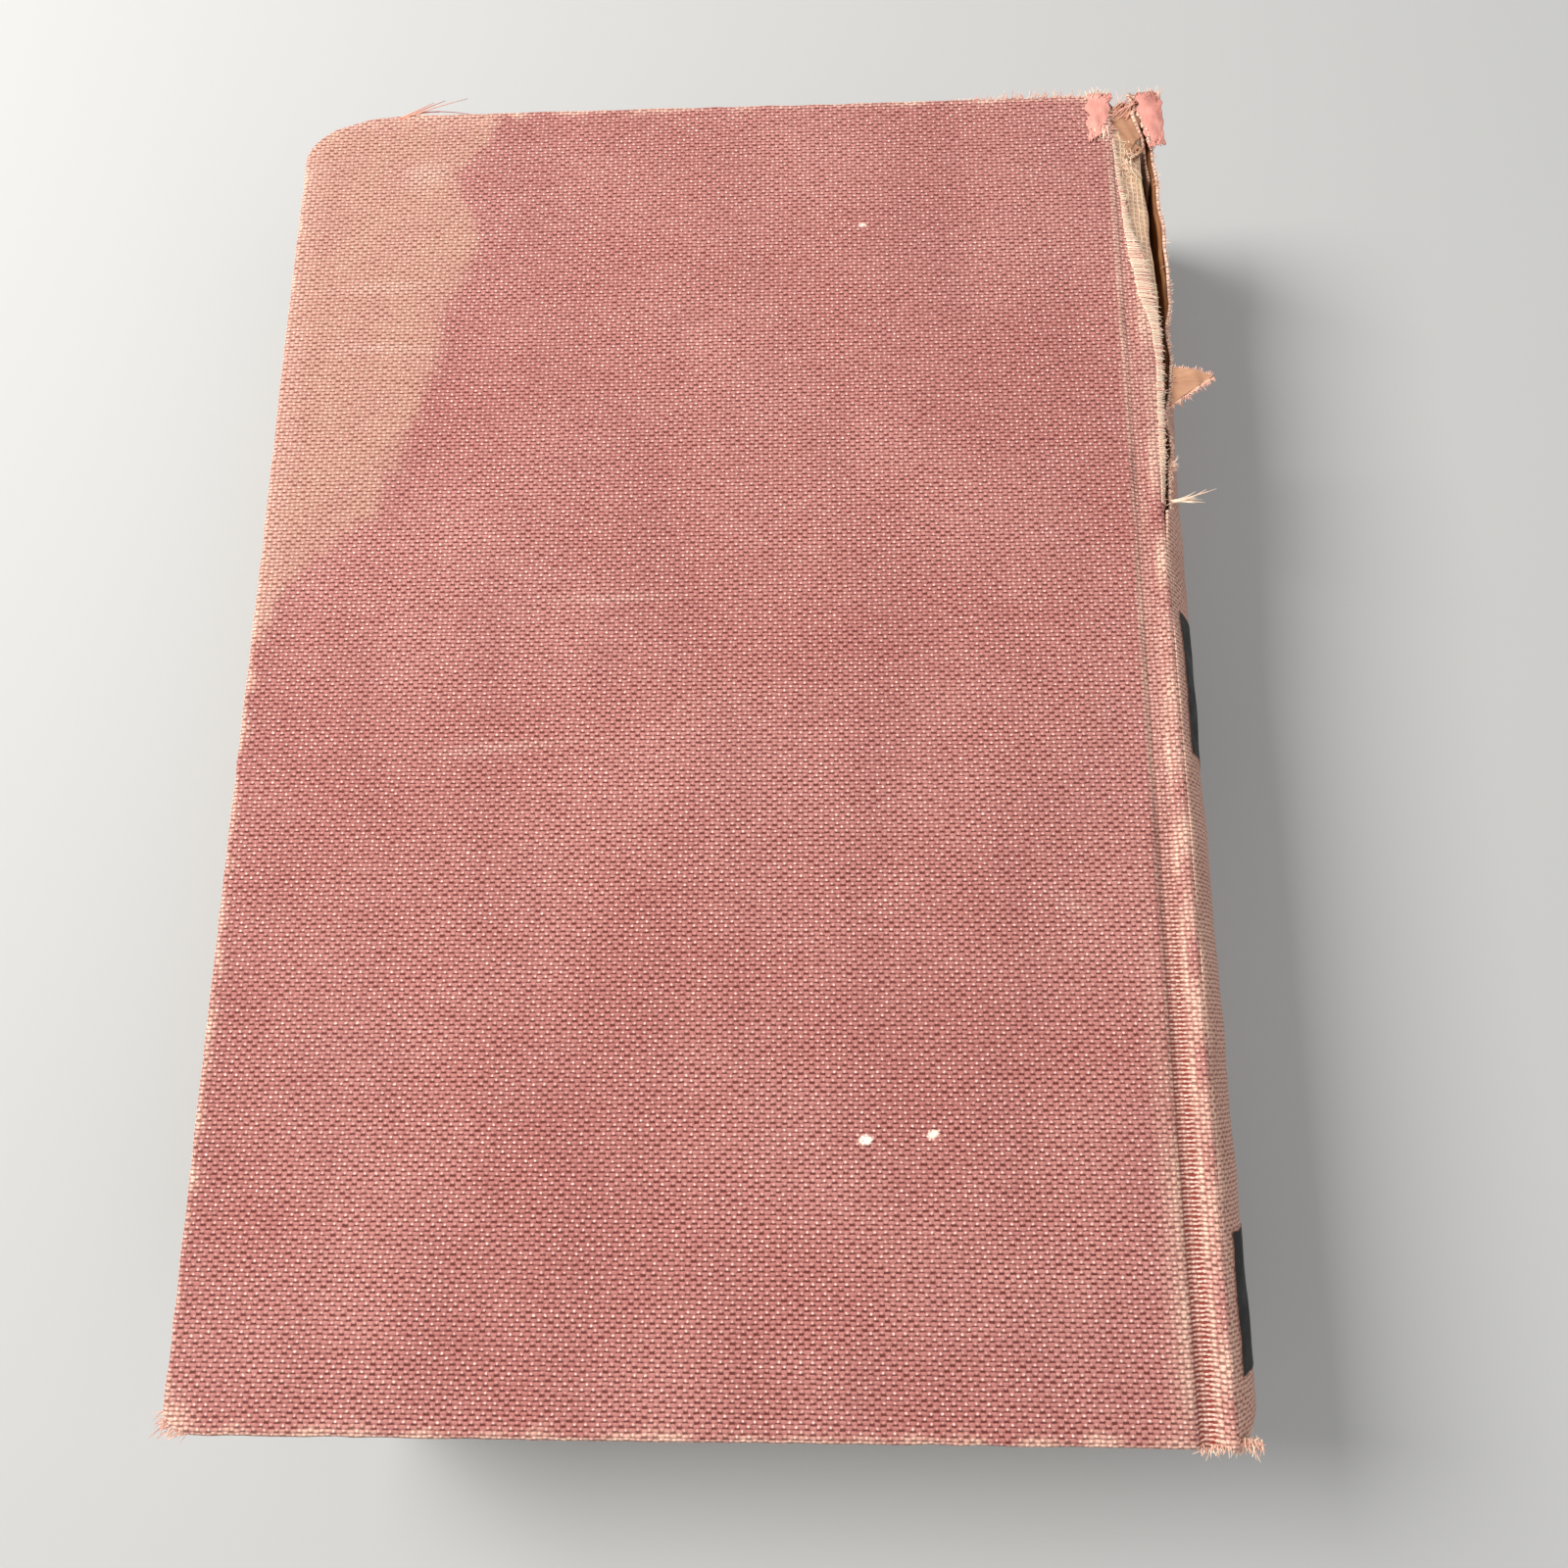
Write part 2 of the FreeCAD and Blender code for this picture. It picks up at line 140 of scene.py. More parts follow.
# %% [markdown]
# ## Helpers for meshes
#
# Nearly every piece is a grid of points. The faces of a grid only depend on its numbers of
# rows and columns, so one helper writes them all. A thin piece such as a leaf is two grids
# back to back with a rim between them, which gives a closed skin with real thickness.

# %% Grid, skin and piece makers


def grid_faces(rows, cols, first=0):
    """Quads between neighbours of a grid whose point number is first + row * cols + column."""
    row, col = np.meshgrid(np.arange(rows - 1), np.arange(cols - 1), indexing="ij")
    start = (first + row * cols + col).ravel()
    return np.stack([start, start + 1, start + cols + 1, start + cols], axis=1)


def skin(outer, inner):
    """Two grids back to back, with a rim of quads round their common border."""
    rows, cols = outer.shape[:2]
    count = rows * cols
    number = np.arange(count).reshape(rows, cols)
    rim = np.concatenate(
        [number[0, :-1], number[:-1, -1], number[-1, :0:-1], number[:0:-1, 0]]
    )
    after = np.roll(rim, -1)
    front = grid_faces(rows, cols)
    side = np.stack([after, rim, rim + count, after + count], axis=1)
    points = np.concatenate([outer.reshape(-1, 3), inner.reshape(-1, 3)])
    return points, np.concatenate([front, front[:, ::-1] + count, side])


def outward(points, faces):
    """Turn a closed skin's faces round if its signed volume is negative."""
    a, b, c = (points[faces[:, k]] for k in (0, 1, 2))
    volume = (a * np.cross(b, c)).sum()
    if faces.shape[1] == 4:
        volume += (a * np.cross(c, points[faces[:, 3]])).sum()
    return faces if volume > 0 else faces[:, ::-1]


def piece(name, points, faces, finish, uv=None, masks=None, extra=()):
    """A mesh object from points in mm, quads, any extra faces, and values per point."""
    mesh = bpy.data.meshes.new(name)
    mesh.from_pydata((points * MM).tolist(), [], faces.tolist() + list(extra))
    if uv is not None:
        corner = np.zeros(len(mesh.loops), np.int32)
        mesh.loops.foreach_get("vertex_index", corner)
        mesh.uv_layers.new(name="cloth").data.foreach_set("uv", uv[corner].ravel())
    for mask, values in (masks or {}).items():
        attribute = mesh.attributes.new(mask, "FLOAT", "POINT")
        attribute.data.foreach_set("value", np.asarray(values, np.float32).ravel())
    mesh.materials.append(finish)
    mesh.polygons.foreach_set("use_smooth", np.ones(len(mesh.polygons), bool))
    mesh.update()
    made = bpy.data.objects.new(name, mesh)
    bpy.context.scene.collection.objects.link(made)
    return made


def settle(made, body, slot, *nodes):
    """Put a piece on its body and let it stand for CAD nodes; the slot is not used."""
    if body:
        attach(made, body)
    if nodes:
        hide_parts(*nodes)
    print(made.name, len(made.data.polygons), "faces")
    return made


def smooth(value):
    """0 below 0, 1 above 1, and an S between."""
    value = np.clip(value, 0, 1)
    return value * value * (3 - 2 * value)


def waver(along, size, waves, seed):
    """A gentle random line: a sum of sines along a length, at most about size high."""
    draw = np.random.default_rng(seed)
    length = draw.uniform(0.6, 1.6, 7) * waves
    phase = draw.uniform(0, 2 * np.pi, 7)
    return size / 2.2 * sum(np.sin(2 * np.pi * along / w + p) for w, p in zip(length, phase))


def swell(x, y, size, waves, seed):
    """The same over a surface: crossed gentle waves."""
    draw = np.random.default_rng(seed)
    turn = draw.uniform(0, np.pi, 9)
    length = draw.uniform(0.6, 1.7, 9) * waves
    phase = draw.uniform(0, 2 * np.pi, 9)
    total = 0
    for a, w, p in zip(turn, length, phase):
        total = total + np.sin(2 * np.pi * (x * np.cos(a) + y * np.sin(a)) / w + p)
    return size / 3 * total


# %% [markdown]
# ## Helpers for finishes
#
# A finish is a small net of shader nodes. These helpers keep each net readable: one adds a
# node and wires it, one does sums, one turns a value into a colour.

# %% Finish makers


class Finish:
    """A material with a Principled shader, and short ways to add nodes to it."""

    def __init__(self, name, roughness, specular=0.3, **fixed):
        self.material = bpy.data.materials.new(name)
        self.material.use_nodes = True
        self.tree = self.material.node_tree
        self.shader = self.tree.nodes["Principled BSDF"]
        self.shader.inputs["Roughness"].default_value = roughness
        self.shader.inputs["Specular IOR Level"].default_value = specular
        for socket, value in fixed.items():
            self.shader.inputs[socket.replace("_", " ")].default_value = value

    def put(self, socket, value):
        """Wire a socket, or set it if the value is a plain one."""
        if isinstance(value, bpy.types.NodeSocket):
            self.tree.links.new(value, socket)
        else:
            socket.default_value = value

    def node(self, kind, out=0, sockets=None, **settings):
        """A node with its settings and sockets; gives back one of its outputs."""
        made = self.tree.nodes.new("ShaderNode" + kind)
        for key, value in settings.items():
            setattr(made, key, value)
        for key, value in (sockets or {}).items():
            self.put(made.inputs[key], value)
        return made.outputs[out]

    def sum(self, work, *values):
        """One step of arithmetic, such as ADD, MULTIPLY or POWER."""
        made = self.tree.nodes.new("ShaderNodeMath")
        made.operation = work
        for socket, value in zip(made.inputs, values):
            self.put(socket, value)
        return made.outputs[0]

    def span(self, value, low, high, to_low=0.0, to_high=1.0):
        """Map low..high to to_low..to_high, held at both ends, with an S between."""
        return self.node(
            "MapRange",
            sockets={0: value, 1: low, 2: high, 3: to_low, 4: to_high},
            interpolation_type="SMOOTHSTEP",
        )

    def mix(self, share, first, second, way="MIX"):
        """Mix two colours by a share."""
        made = self.tree.nodes.new("ShaderNodeMix")
        made.data_type, made.blend_type = "RGBA", way
        made.clamp_factor = True
        for socket, value in ((0, share), (6, first), (7, second)):
            self.put(made.inputs[socket], value)
        return made.outputs[2]

    def noise(self, where, scale, detail=3.0, roughness=0.55):
        """Soft random values from 0 to 1 at a point."""
        sockets = {"Vector": where, "Scale": scale, "Detail": detail, "Roughness": roughness}
        return self.node("TexNoise", sockets=sockets)

    def attribute(self, name):
        """A value per point that the mesh carries."""
        return self.node("Attribute", out=2, attribute_name=name)

    def scaled(self, vector, size):
        """Stretch a vector by a size along each axis."""
        sockets = {0: vector, 1: size}
        return self.node("VectorMath", sockets=sockets, operation="MULTIPLY")

    def colour(self, value):
        """Wire or set the base colour."""
        self.put(self.shader.inputs["Base Color"], value)

    def relief(self, height, depth, strength=1.0):
        """Bump from a height between 0 and 1, that stands for so many millimetres."""
        sockets = {"Height": height, "Distance": depth * MM, "Strength": strength}
        self.put(self.shader.inputs["Normal"], self.node("Bump", sockets=sockets))


def shade(red, green, blue):
    """A colour as a dyer's card gives it (0 to 255), made linear for the shader."""
    part = np.array([red, green, blue]) / 255
    part = np.where(part <= 0.04045, part / 12.92, ((part + 0.055) / 1.055) ** 2.4)
    return (*[float(v) for v in part], 1.0)


pale = Finish("floor_paper", 0.9, 0.1)
pale.colour(shade(178, 178, 177))
floor_points = np.array([[-3000, -3000, 0], [3000, -3000, 0], [3000, 3000, 0], [-3000, 3000, 0.0]])
floor = piece("floor", floor_points, np.array([[0, 1, 2, 3]]), pale.material)

# %% [markdown]
# ## The bookcloth finish
#
# Buckram is a plain weave: each thread goes over one, under the next. On the cover the
# threads that run head to tail lie 0.79 mm apart and the ones across lie 0.62 mm apart. The
# cloth is flat-dyed. The tops of the threads that stand highest are light cream pink, partly
# rubbed and partly a painted highlight, and the pits, with a gap under each knuckle, are dark
# with painted shade. A woven picture could be stretched over the mesh, but a net of sums on
# the unrolled cloth's own coordinates keeps every thread sharp and lets wear change it from
# place to place.

# %% Bookcloth
WARP_PITCH, WEFT_PITCH = 0.79, 0.62


def bookcloth(name, marks=()):
    """Plain weave in thread numbers from the UV map; fade, rubbing with painted light, and the groove's
    rungs with painted pit shade come per point.

    Each mark is an ellipse on the flat cloth, in mm: x, y, half width, half height, turn in
    degrees, strength and colour. Fine noise breaks its rim.
    """
    f = Finish(name, 0.78, 0.22, Sheen_Weight=0.12, Sheen_Roughness=0.5)
    cloth = f.node("UVMap", uv_map="cloth")
    drift = f.noise(cloth, 0.035, 2.0)
    jog = f.node("TexNoise", out=1, sockets={"Vector": cloth, "Scale": 0.55, "Detail": 2.0})
    jog = f.node("VectorMath", sockets={0: jog, 1: (0.5, 0.5, 0.5)}, operation="SUBTRACT")
    jog = f.scaled(jog, (0.60, 0.46, 0.0))
    thread = f.node("VectorMath", sockets={0: cloth, 1: jog}, operation="ADD")
    split = f.tree.nodes.new("ShaderNodeSeparateXYZ")
    f.put(split.inputs[0], thread)
    warp, weft = split.outputs[0], split.outputs[1]
    warp_number, weft_number = f.sum("FLOOR", warp), f.sum("FLOOR", weft)
    across = f.sum("SUBTRACT", f.sum("FRACT", warp), 0.5)
    along = f.sum("SUBTRACT", f.sum("FRACT", weft), 0.5)
    odd = f.sum("FLOORED_MODULO", f.sum("ADD", warp_number, weft_number), 2.0)
    cell = f.node("CombineXYZ", sockets={0: warp_number, 1: weft_number})
    luck = f.node("TexWhiteNoise", sockets={"Vector": cell}, noise_dimensions="2D")
    other_luck = f.node("TexWhiteNoise", sockets={"Vector": f.scaled(cell, (1.0, -1.0, 1.0))},
                        noise_dimensions="2D")
    across = f.sum("ADD", across, f.span(other_luck, 0.0, 1.0, -0.14, 0.14))
    along = f.sum("ADD", along, f.span(luck, 0.0, 1.0, -0.10, 0.10))

    def hump(a, wide, b, tall):
        """A rounded bump exp(-(a/wide)^2 - (b/tall)^2)."""
        square = f.sum("ADD", f.sum("POWER", f.sum("ABSOLUTE", f.sum("DIVIDE", a, wide)), 2.0),
                       f.sum("POWER", f.sum("ABSOLUTE", f.sum("DIVIDE", b, tall)), 2.0))
        return f.sum("EXPONENT", f.sum("MULTIPLY", square, -1.0))

    # Under each high knuckle a short dark gap is cut into the height, so the pit colour falls
    # there as a painted shadow of the knuckle: on the tail side of its own cell and the head side
    # of the next one, so the cell's y is mirrored in every second cell.
    mirrored = f.sum("MULTIPLY", along, f.sum("SUBTRACT", 1.0, f.sum("MULTIPLY", odd, 2.0)))
    arch = f.sum("MULTIPLY", f.sum("MULTIPLY", across, across), 0.9)
    gap = hump(across, 0.42, f.sum("SUBTRACT", f.sum("ADD", mirrored, 0.53), arch), 0.20)
    seam = hump(0.0, 1.0, f.sum("SUBTRACT", f.sum("ABSOLUTE", along), 0.5), 0.12)
    knuckle = hump(across, 0.32, along, 0.42)
    bar = hump(across, 0.80, along, 0.46)
    even = f.sum("SUBTRACT", 1.0, odd)
    high = f.sum("MULTIPLY", knuckle, even)
    low = f.sum("MULTIPLY", bar, f.sum("ADD", 0.40, f.sum("MULTIPLY", odd, 0.16)))
    slub = f.noise(f.scaled(cloth, (0.05, 0.9, 1.0)), 1.0, 2.0)
    slub = f.span(slub, 0.30, 0.70, 0.86, 1.10)
    height = f.sum("MULTIPLY", f.sum("MAXIMUM", high, low), slub)
    height = f.sum("SUBTRACT", height, f.sum("MULTIPLY", gap, 0.66))
    height = f.sum("SUBTRACT", height, f.sum("MULTIPLY", seam, 0.05))
    fuzz = f.noise(cloth, 2.6, 3.0, 0.65)
    height = f.sum("ADD", height, f.sum("MULTIPLY", f.sum("SUBTRACT", fuzz, 0.5), 0.42))

    fade, rub, grime = (f.attribute(a) for a in ("fade", "rub", "grime"))
    # Strained over the joint, the cross threads stand alone like rungs, with painted shade in the pits
    # between them.
    rung = f.span(f.sum("ABSOLUTE", along), 0.38, 0.16, -0.50, 0.42)
    height = f.sum("ADD", height, f.sum("MULTIPLY", grime, rung))
    patch = f.noise(cloth, 0.018, 4.0, 0.6)
    smudge = f.noise(f.scaled(cloth, (0.05, 0.012, 1.0)), 1.0, 4.0, 0.6)
    rub_and_highlight_patches = f.span(f.noise(cloth, 0.11, 4.0, 0.65), 0.30, 0.72)
    # The pit colour is painted shade: the colour of the low places between the threads, browner where
    # faded.
    weave_shade_colour = f.mix(fade, shade(98, 41, 36), shade(122, 76, 62))
    body = f.mix(f.span(patch, 0.32, 0.68), shade(176, 111, 103), shade(191, 130, 121))
    body = f.mix(f.span(smudge, 0.38, 0.70, 0.0, 0.45), body, shade(163, 103, 97))
    body = f.mix(fade, body, shade(192, 145, 127))
    # The tops of the highest threads go cream pink by luck: partly rubbed threads, partly a painted
    # highlight.
    crest = f.mix(fade, shade(255, 216, 206), shade(240, 200, 178))
    base = f.mix(f.span(height, -0.12, 0.36), weave_shade_colour, body)
    crest_rub_and_highlight = f.sum("MULTIPLY", f.span(luck, 0.10, 0.80, 0.25, 1.0), f.span(height, 0.52, 0.86))
    crest_rub_and_highlight = f.sum("MULTIPLY", crest_rub_and_highlight, f.sum("ADD", f.sum("MULTIPLY", rub_and_highlight_patches, 0.45), 0.62))
    base = f.mix(crest_rub_and_highlight, base, crest)
    base = f.mix(f.sum("MULTIPLY", f.span(drift, 0.35, 0.70), 0.10), base, shade(150, 92, 88))
    # Rubbed threads go cream; in and beside the joint's groove this also lays in painted light.
    bare = f.sum("MULTIPLY", rub, f.span(height, 0.12, 0.55, 0.25, 1.0))
    base = f.mix(bare, base, shade(243, 205, 180))
    # Painted shade in the pits of the joint's groove, between the rungs.
    shaded_pits = f.sum("MULTIPLY", grime, f.span(height, 0.55, 0.10, 0.0, 1.0))
    base = f.mix(shaded_pits, base, shade(148, 54, 40))
    for x, y, wide, tall, turn, strength, colour in marks:
        inside = f.node("Mapping", vector_type="TEXTURE", sockets={
            "Vector": f.scaled(cloth, (WARP_PITCH, WEFT_PITCH, 0.0)), "Location": (x, y, 0.0),
            "Rotation": (0.0, 0.0, np.radians(turn)), "Scale": (wide, tall, 1.0)})
        far = f.node("VectorMath", out=1, sockets={0: inside}, operation="LENGTH")
        far = f.sum("ADD", far, f.sum("MULTIPLY", f.sum("SUBTRACT", fuzz, 0.5), 1.6))
        shown = f.span(far, 1.05, 0.65, 0.0, strength)
        if strength < 0.7:  # dust and scuffs lie on the tops of the threads only
            shown = f.sum("MULTIPLY", f.span(far, 1.5, 0.1, 0.0, strength),
                          f.span(height, 0.30, 0.75, 0.08, 1.0))
        base = f.mix(shown, base, colour)
    f.colour(base)
    f.put(f.shader.inputs["Roughness"], f.span(height, 0.0, 1.0, 0.88, 0.66))
    f.relief(height, 0.16, 0.85)
    return f.material


DUST = shade(236, 206, 190)
MARKS = (
    (20.6, -68.6, 1.15, 0.75, 10, 1.0, shade(250, 228, 212)),
    (30.2, -67.8, 1.00, 0.65, 20, 1.0, shade(250, 224, 206)),
    (22.3, 82.3, 0.75, 0.55, 0, 0.8, shade(246, 214, 200)),
    (51.6, -35.0, 4.2, 1.7, -38, 0.50, DUST),
    (-54.8, 94.9, 4.4, 3.0, 0, 0.66, DUST),
    (-18.0, 14.2, 9.5, 0.9, 1, 0.62, DUST),
    (-34.0, -10.4, 13.0, 0.9, 5, 0.62, DUST),
    (-60.0, 72.0, 10.0, 1.4, 3, 0.50, DUST),
    (-60.0, 60.0, 11.0, 1.2, -2, 0.45, DUST),
)
BUCKRAM = bookcloth("worn_buckram")
MARKED = bookcloth("marked_buckram", MARKS)
print("bookcloth nodes:", len(BUCKRAM.node_tree.nodes), "and", len(MARKED.node_tree.nodes))

# %% [markdown]
# ## The case cloth over a board
#
# One sheet runs from the joint over the board's face, round its three outer edges and 15 mm
# under, where the endpaper holds it. It could be a box with a bevel, but the two outer
# corners have been bumped soft, by different amounts, and each edge has a worn roll. So the
# sheet is a fan of rings: every ring is a smaller copy of the cover's outline, and past the
# outline the rings go down the edge and back under it. A second grid carries the same sheet
# on from the board, down into the joint and up to the shoulder of the spine.

# %% The outline of a cover
SEAM_X = BOARD_EDGE - 0.3
ROLL = 0.8
TURN_IN = 15.0
CLOTH_END = SHOULDER_X + 0.36
HEAD_CORNER = (20.0, 10.0, 2.3)   # along the head, along the fore-edge, squareness
TAIL_CORNER = (5.0, 4.0, 2.2)
SOFT_CORNER = (3.0, 3.0, 2.2)


def corner_arc(corner, count):
    """A quarter of a superellipse: cos and sin of an angle, each to the power 2/squareness."""
    a, b, power = corner
    angle = np.linspace(0, np.pi / 2, count)
    return a * (1 - np.cos(angle) ** (2 / power)), b * (1 - np.sin(angle) ** (2 / power))


def cover_outline(head_corner, tail_corner, seed):
    """Points from the joint at the tail, round the fore-edge, to the joint at the head."""
    ax, ay = corner_arc(tail_corner, 22)
    bx, by = corner_arc(head_corner, 34)
    tail = np.linspace(SEAM_X, FORE + tail_corner[0], 62)[:-1]
    side = np.linspace(-HEAD + tail_corner[1], HEAD - head_corner[1], 76)[1:-1]
    head = np.linspace(FORE + head_corner[0], SEAM_X, 62)[1:]
    x = np.concatenate([tail, FORE + ax[::-1], np.full(len(side), FORE), FORE + bx, head])
    y = np.concatenate(
        [np.full(len(tail), -HEAD), ay[::-1] - HEAD, side, HEAD - by, np.full(len(head), HEAD)]
    )
    path = np.stack([x, y], axis=1)
    step = np.gradient(path, axis=0)
    normal = np.stack([-step[:, 1], step[:, 0]], axis=1)
    normal /= np.linalg.norm(normal, axis=1)[:, None]
    along = np.concatenate([[0], np.cumsum(np.linalg.norm(np.diff(path, axis=0), axis=1))])
    quiet = smooth(along / 12) * smooth((along[-1] - along) / 12)
    path -= normal * (np.abs(waver(along, 0.12, 14, seed)) * quiet)[:, None]
    return path, normal


# %% The joint and the torn edge
TEAR_ROOT = HEAD - 79.0
GROOVE_AT_HEAD, GROOVE_AT_TAIL = 0.50, 1.30
# Where the torn edge of the joint cloth runs: (y, x), from the foot of the tear to the head.
TORN_EDGE = np.array([(29, 70.3), (33, 70.6), (39, 70.9), (46, 71.2), (54, 71.7), (61, 71.8),
                      (68, 71.0), (75, 70.0), (80, 68.0), (90, 67.1), (98, 66.5), (108, 65.9)])


def arc_height(x):
    """Height of the spine's round at x."""
    return MIDDLE_Z + np.sqrt(np.maximum(SPINE_RADIUS**2 - (x - ARC_X) ** 2, 1))


def joint_height(x, y):
    """Down from the board into the joint's groove, up to the shoulder, then round the spine.

    Where the cloth has torn it no longer follows the round, but stands nearly straight out.
    """
    depth = GROOVE_AT_HEAD + (GROOVE_AT_TAIL - GROOVE_AT_HEAD) * smooth((60 - y) / 150)
    depth = depth + waver(y, 0.16, 22, 31)
    start = SEAM_X + 1.2 * smooth((y + 40) / 130)
    groove = smooth((x - start) / 1.5) * (1 - smooth((x - 66.8) / 2.2))
    flat = TOP - depth * groove - SHOULDER_DROP * smooth((x - 67.0) / 2.0)
    arc = arc_height(x)
    stands = 0.85 * smooth((y - TEAR_ROOT - 1) / 9)
    arc = arc + stands * np.maximum(flat - arc, 0)
    gap = flat - arc
    return 0.5 * (flat + arc - np.sqrt(gap**2 + 0.12**2))


def torn_end(y, torn):
    """x of the strip's free edge: the seam with the spine, or the ragged tear above it."""
    if not torn:
        return np.full_like(y, CLOTH_END)
    edge = np.interp(y, TORN_EDGE[:, 0], TORN_EDGE[:, 1])
    ragged = waver(y, 0.22, 4.5, 12) * smooth((y - 31) / 6)
    return np.where(y > TEAR_ROOT, edge + ragged, CLOTH_END)


# %% [markdown]
# The sheet's rings are listed once, as how far each lies inside the outline and how far it
# has gone down the edge. The joint's rows use the same list, so both grids meet point for
# point and the sheet has no seam. Each point also keeps its place on the flat cloth before
# it was glued, because the weave is drawn on the flat cloth.

# %% The case cloth, from fore-edge to joint
UNDER = 0.55
JOINT_FOLD = 1.1
turn = np.linspace(0, np.pi / 2, 6)[1:]
EDGE_INSET = np.concatenate([ROLL * (1 - np.sin(turn)), [0, 0], UNDER * (1 - np.cos(turn)),
                             [1.2, 2.5, 5, 9, 13, TURN_IN]])
EDGE_DEPTH = np.concatenate([ROLL * (1 - np.cos(turn)), [1.3, COVER_THICK - UNDER],
                             COVER_THICK - UNDER * (1 - np.sin(turn)), np.full(6, COVER_THICK)])
edge_step = np.hypot(np.diff(EDGE_INSET, prepend=ROLL), np.diff(EDGE_DEPTH, prepend=0))
EDGE_RUN = np.cumsum(edge_step) - ROLL
FACE_SHARE = np.concatenate([np.linspace(0, 0.94, 98)[1:], np.linspace(0.945, 1, 13)])
JOINT_COLUMNS = 22


def bend_with_joint(made):
    """Bake a piece's place into its mesh; nothing here bends it with the joint."""
    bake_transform(made)


def cover_grid(outline, normal, face):
    """Rings as rows: places in mm and places on the flat cloth."""
    start = outline - normal * ROLL
    centre = np.array([SEAM_X, 0.0])
    rings = centre + FACE_SHARE[:, None, None] * (start - centre)
    flat = np.concatenate([rings, outline + EDGE_RUN[:, None, None] * normal])
    near = outline - np.minimum(EDGE_INSET, 1.2)[:, None, None] * normal
    inner = np.stack([np.maximum(outline[:, 0], FORE + TURN_IN),
                      np.clip(outline[:, 1], TURN_IN - HEAD, HEAD - TURN_IN)], axis=1)
    share = np.clip((EDGE_INSET - 1.2) / (TURN_IN - 1.2), 0, 1)[:, None, None]
    rim = near + share * (inner - near)
    plan = np.concatenate([rings, rim])
    depth = np.concatenate([np.zeros(len(FACE_SHARE)), EDGE_DEPTH])
    under = depth[:, None] / COVER_THICK
    height = TOP - depth[:, None] + (face(plan[..., 0], plan[..., 1]) - TOP) * (1 - under)
    return np.concatenate([plan, height[..., None]], axis=2), flat


def case_cloth(name, side, outline, normal, masks, torn):
    """The whole sheet over one board and its half of the joint."""
    def face(x, y):
        return TOP - 0.13 + swell(x, y, 0.09, 60, 5) * smooth((SEAM_X - x) / 8)

    grid, flat = cover_grid(outline, normal, face)
    rings, stations = grid.shape[:2]
    pole = np.array([[SEAM_X, 0.0, face(SEAM_X, 0.0)]])
    rows_y = np.concatenate([grid[::-1, 0, 1], [0.0], grid[:, -1, 1]])
    rows_v = np.concatenate([flat[::-1, 0, 1], [0.0], flat[:, -1, 1]])
    depth = np.concatenate([np.zeros(len(FACE_SHARE)), EDGE_DEPTH])
    rows_depth = np.concatenate([depth[::-1], [0.0], depth])
    share = np.linspace(0, 1, JOINT_COLUMNS + 1)[1:]
    end = torn_end(rows_y, torn)
    x = SEAM_X + share * (end[:, None] - SEAM_X)
    y = np.broadcast_to(rows_y[:, None], x.shape)
    thin = 1 - (1 - JOINT_FOLD / COVER_THICK) * smooth((x - SEAM_X) / 1.2)
    drop = 0.13 * (1 - smooth((x - SEAM_X) / 3.0)) * (1 - rows_depth[:, None] / COVER_THICK)
    strip = np.stack([x, y, joint_height(x, y) - drop - rows_depth[:, None] * thin], axis=2)
    strip_flat = np.stack([x + 0.9 * smooth((x - SEAM_X) / (CLOTH_END - SEAM_X)),
                           np.broadcast_to(rows_v[:, None], x.shape)], axis=2)

    points = np.concatenate([grid.reshape(-1, 3), pole, strip.reshape(-1, 3)])
    cloth = np.concatenate([flat.reshape(-1, 2), [[SEAM_X, 0.0]], strip_flat.reshape(-1, 2)])
    number = np.arange(rings * stations).reshape(rings, stations)
    pole_number = rings * stations
    first = pole_number + 1
    left = np.concatenate([number[::-1, 0], [pole_number], number[:, -1]])
    strip_number = np.arange(strip.shape[0] * JOINT_COLUMNS).reshape(-1, JOINT_COLUMNS) + first
    both = np.concatenate([left[:, None], strip_number], axis=1)
    joint = np.stack([both[:-1, :-1], both[:-1, 1:], both[1:, 1:], both[1:, :-1]], axis=2)
    faces = np.concatenate([grid_faces(rings, stations), joint.reshape(-1, 4)])
    fan = np.stack([np.full(stations - 1, pole_number), number[0, 1:], number[0, :-1]], axis=1)
    values = masks(points, cloth)
    if side == "lower":
        points = points * (1, 1, -1) + (0, 0, TOP)
        cloth = cloth * (-1, 1) + (LOWER_SHIFT, 0)
        faces, fan = faces[:, ::-1], fan[:, ::-1]
    finish = MARKED if side == "upper" else BUCKRAM
    made = piece(name, points, faces, finish, cloth / (WARP_PITCH, WEFT_PITCH), values, fan.tolist())
    wall = made.modifiers.new("thickness", "SOLIDIFY")
    wall.thickness, wall.offset = CLOTH_THICK * MM, -1
    bend_with_joint(made)
    return made


# %% [markdown]
# Wear and painted light are kept as a few numbers on each point. The head corner at the
# fore-edge has faded to tan pink up to a scalloped tide line. The edges and the shoulder are
# rubbed down to bare threads. In the joint the pits take painted shade; the threads across the
# groove, the board's edge beside it and a strip left of it low down are lightened with the
# rubbing, partly as painted light and sheen.

# %% Where the upper cover is worn
ARC_RUN = SPINE_RADIUS * 2 * np.arccos((CLOTH_END - ARC_X) / SPINE_RADIUS)
LOWER_SHIFT = 2 * (CLOTH_END + 0.9) + ARC_RUN
# The tide line: (distance from the head, distance from the fore-edge).
TIDE_LINE = np.array([(0, 34), (2, 33.7), (9, 31.4), (13.4, 26.9), (20, 30.3), (28, 32), (36, 30.3),
                      (42, 26.3), (48.7, 26.9), (58, 24.6), (67, 22.3), (78, 19.5), (83, 12.2),
                      (93, 4.2), (102, 0), (400, -20)])


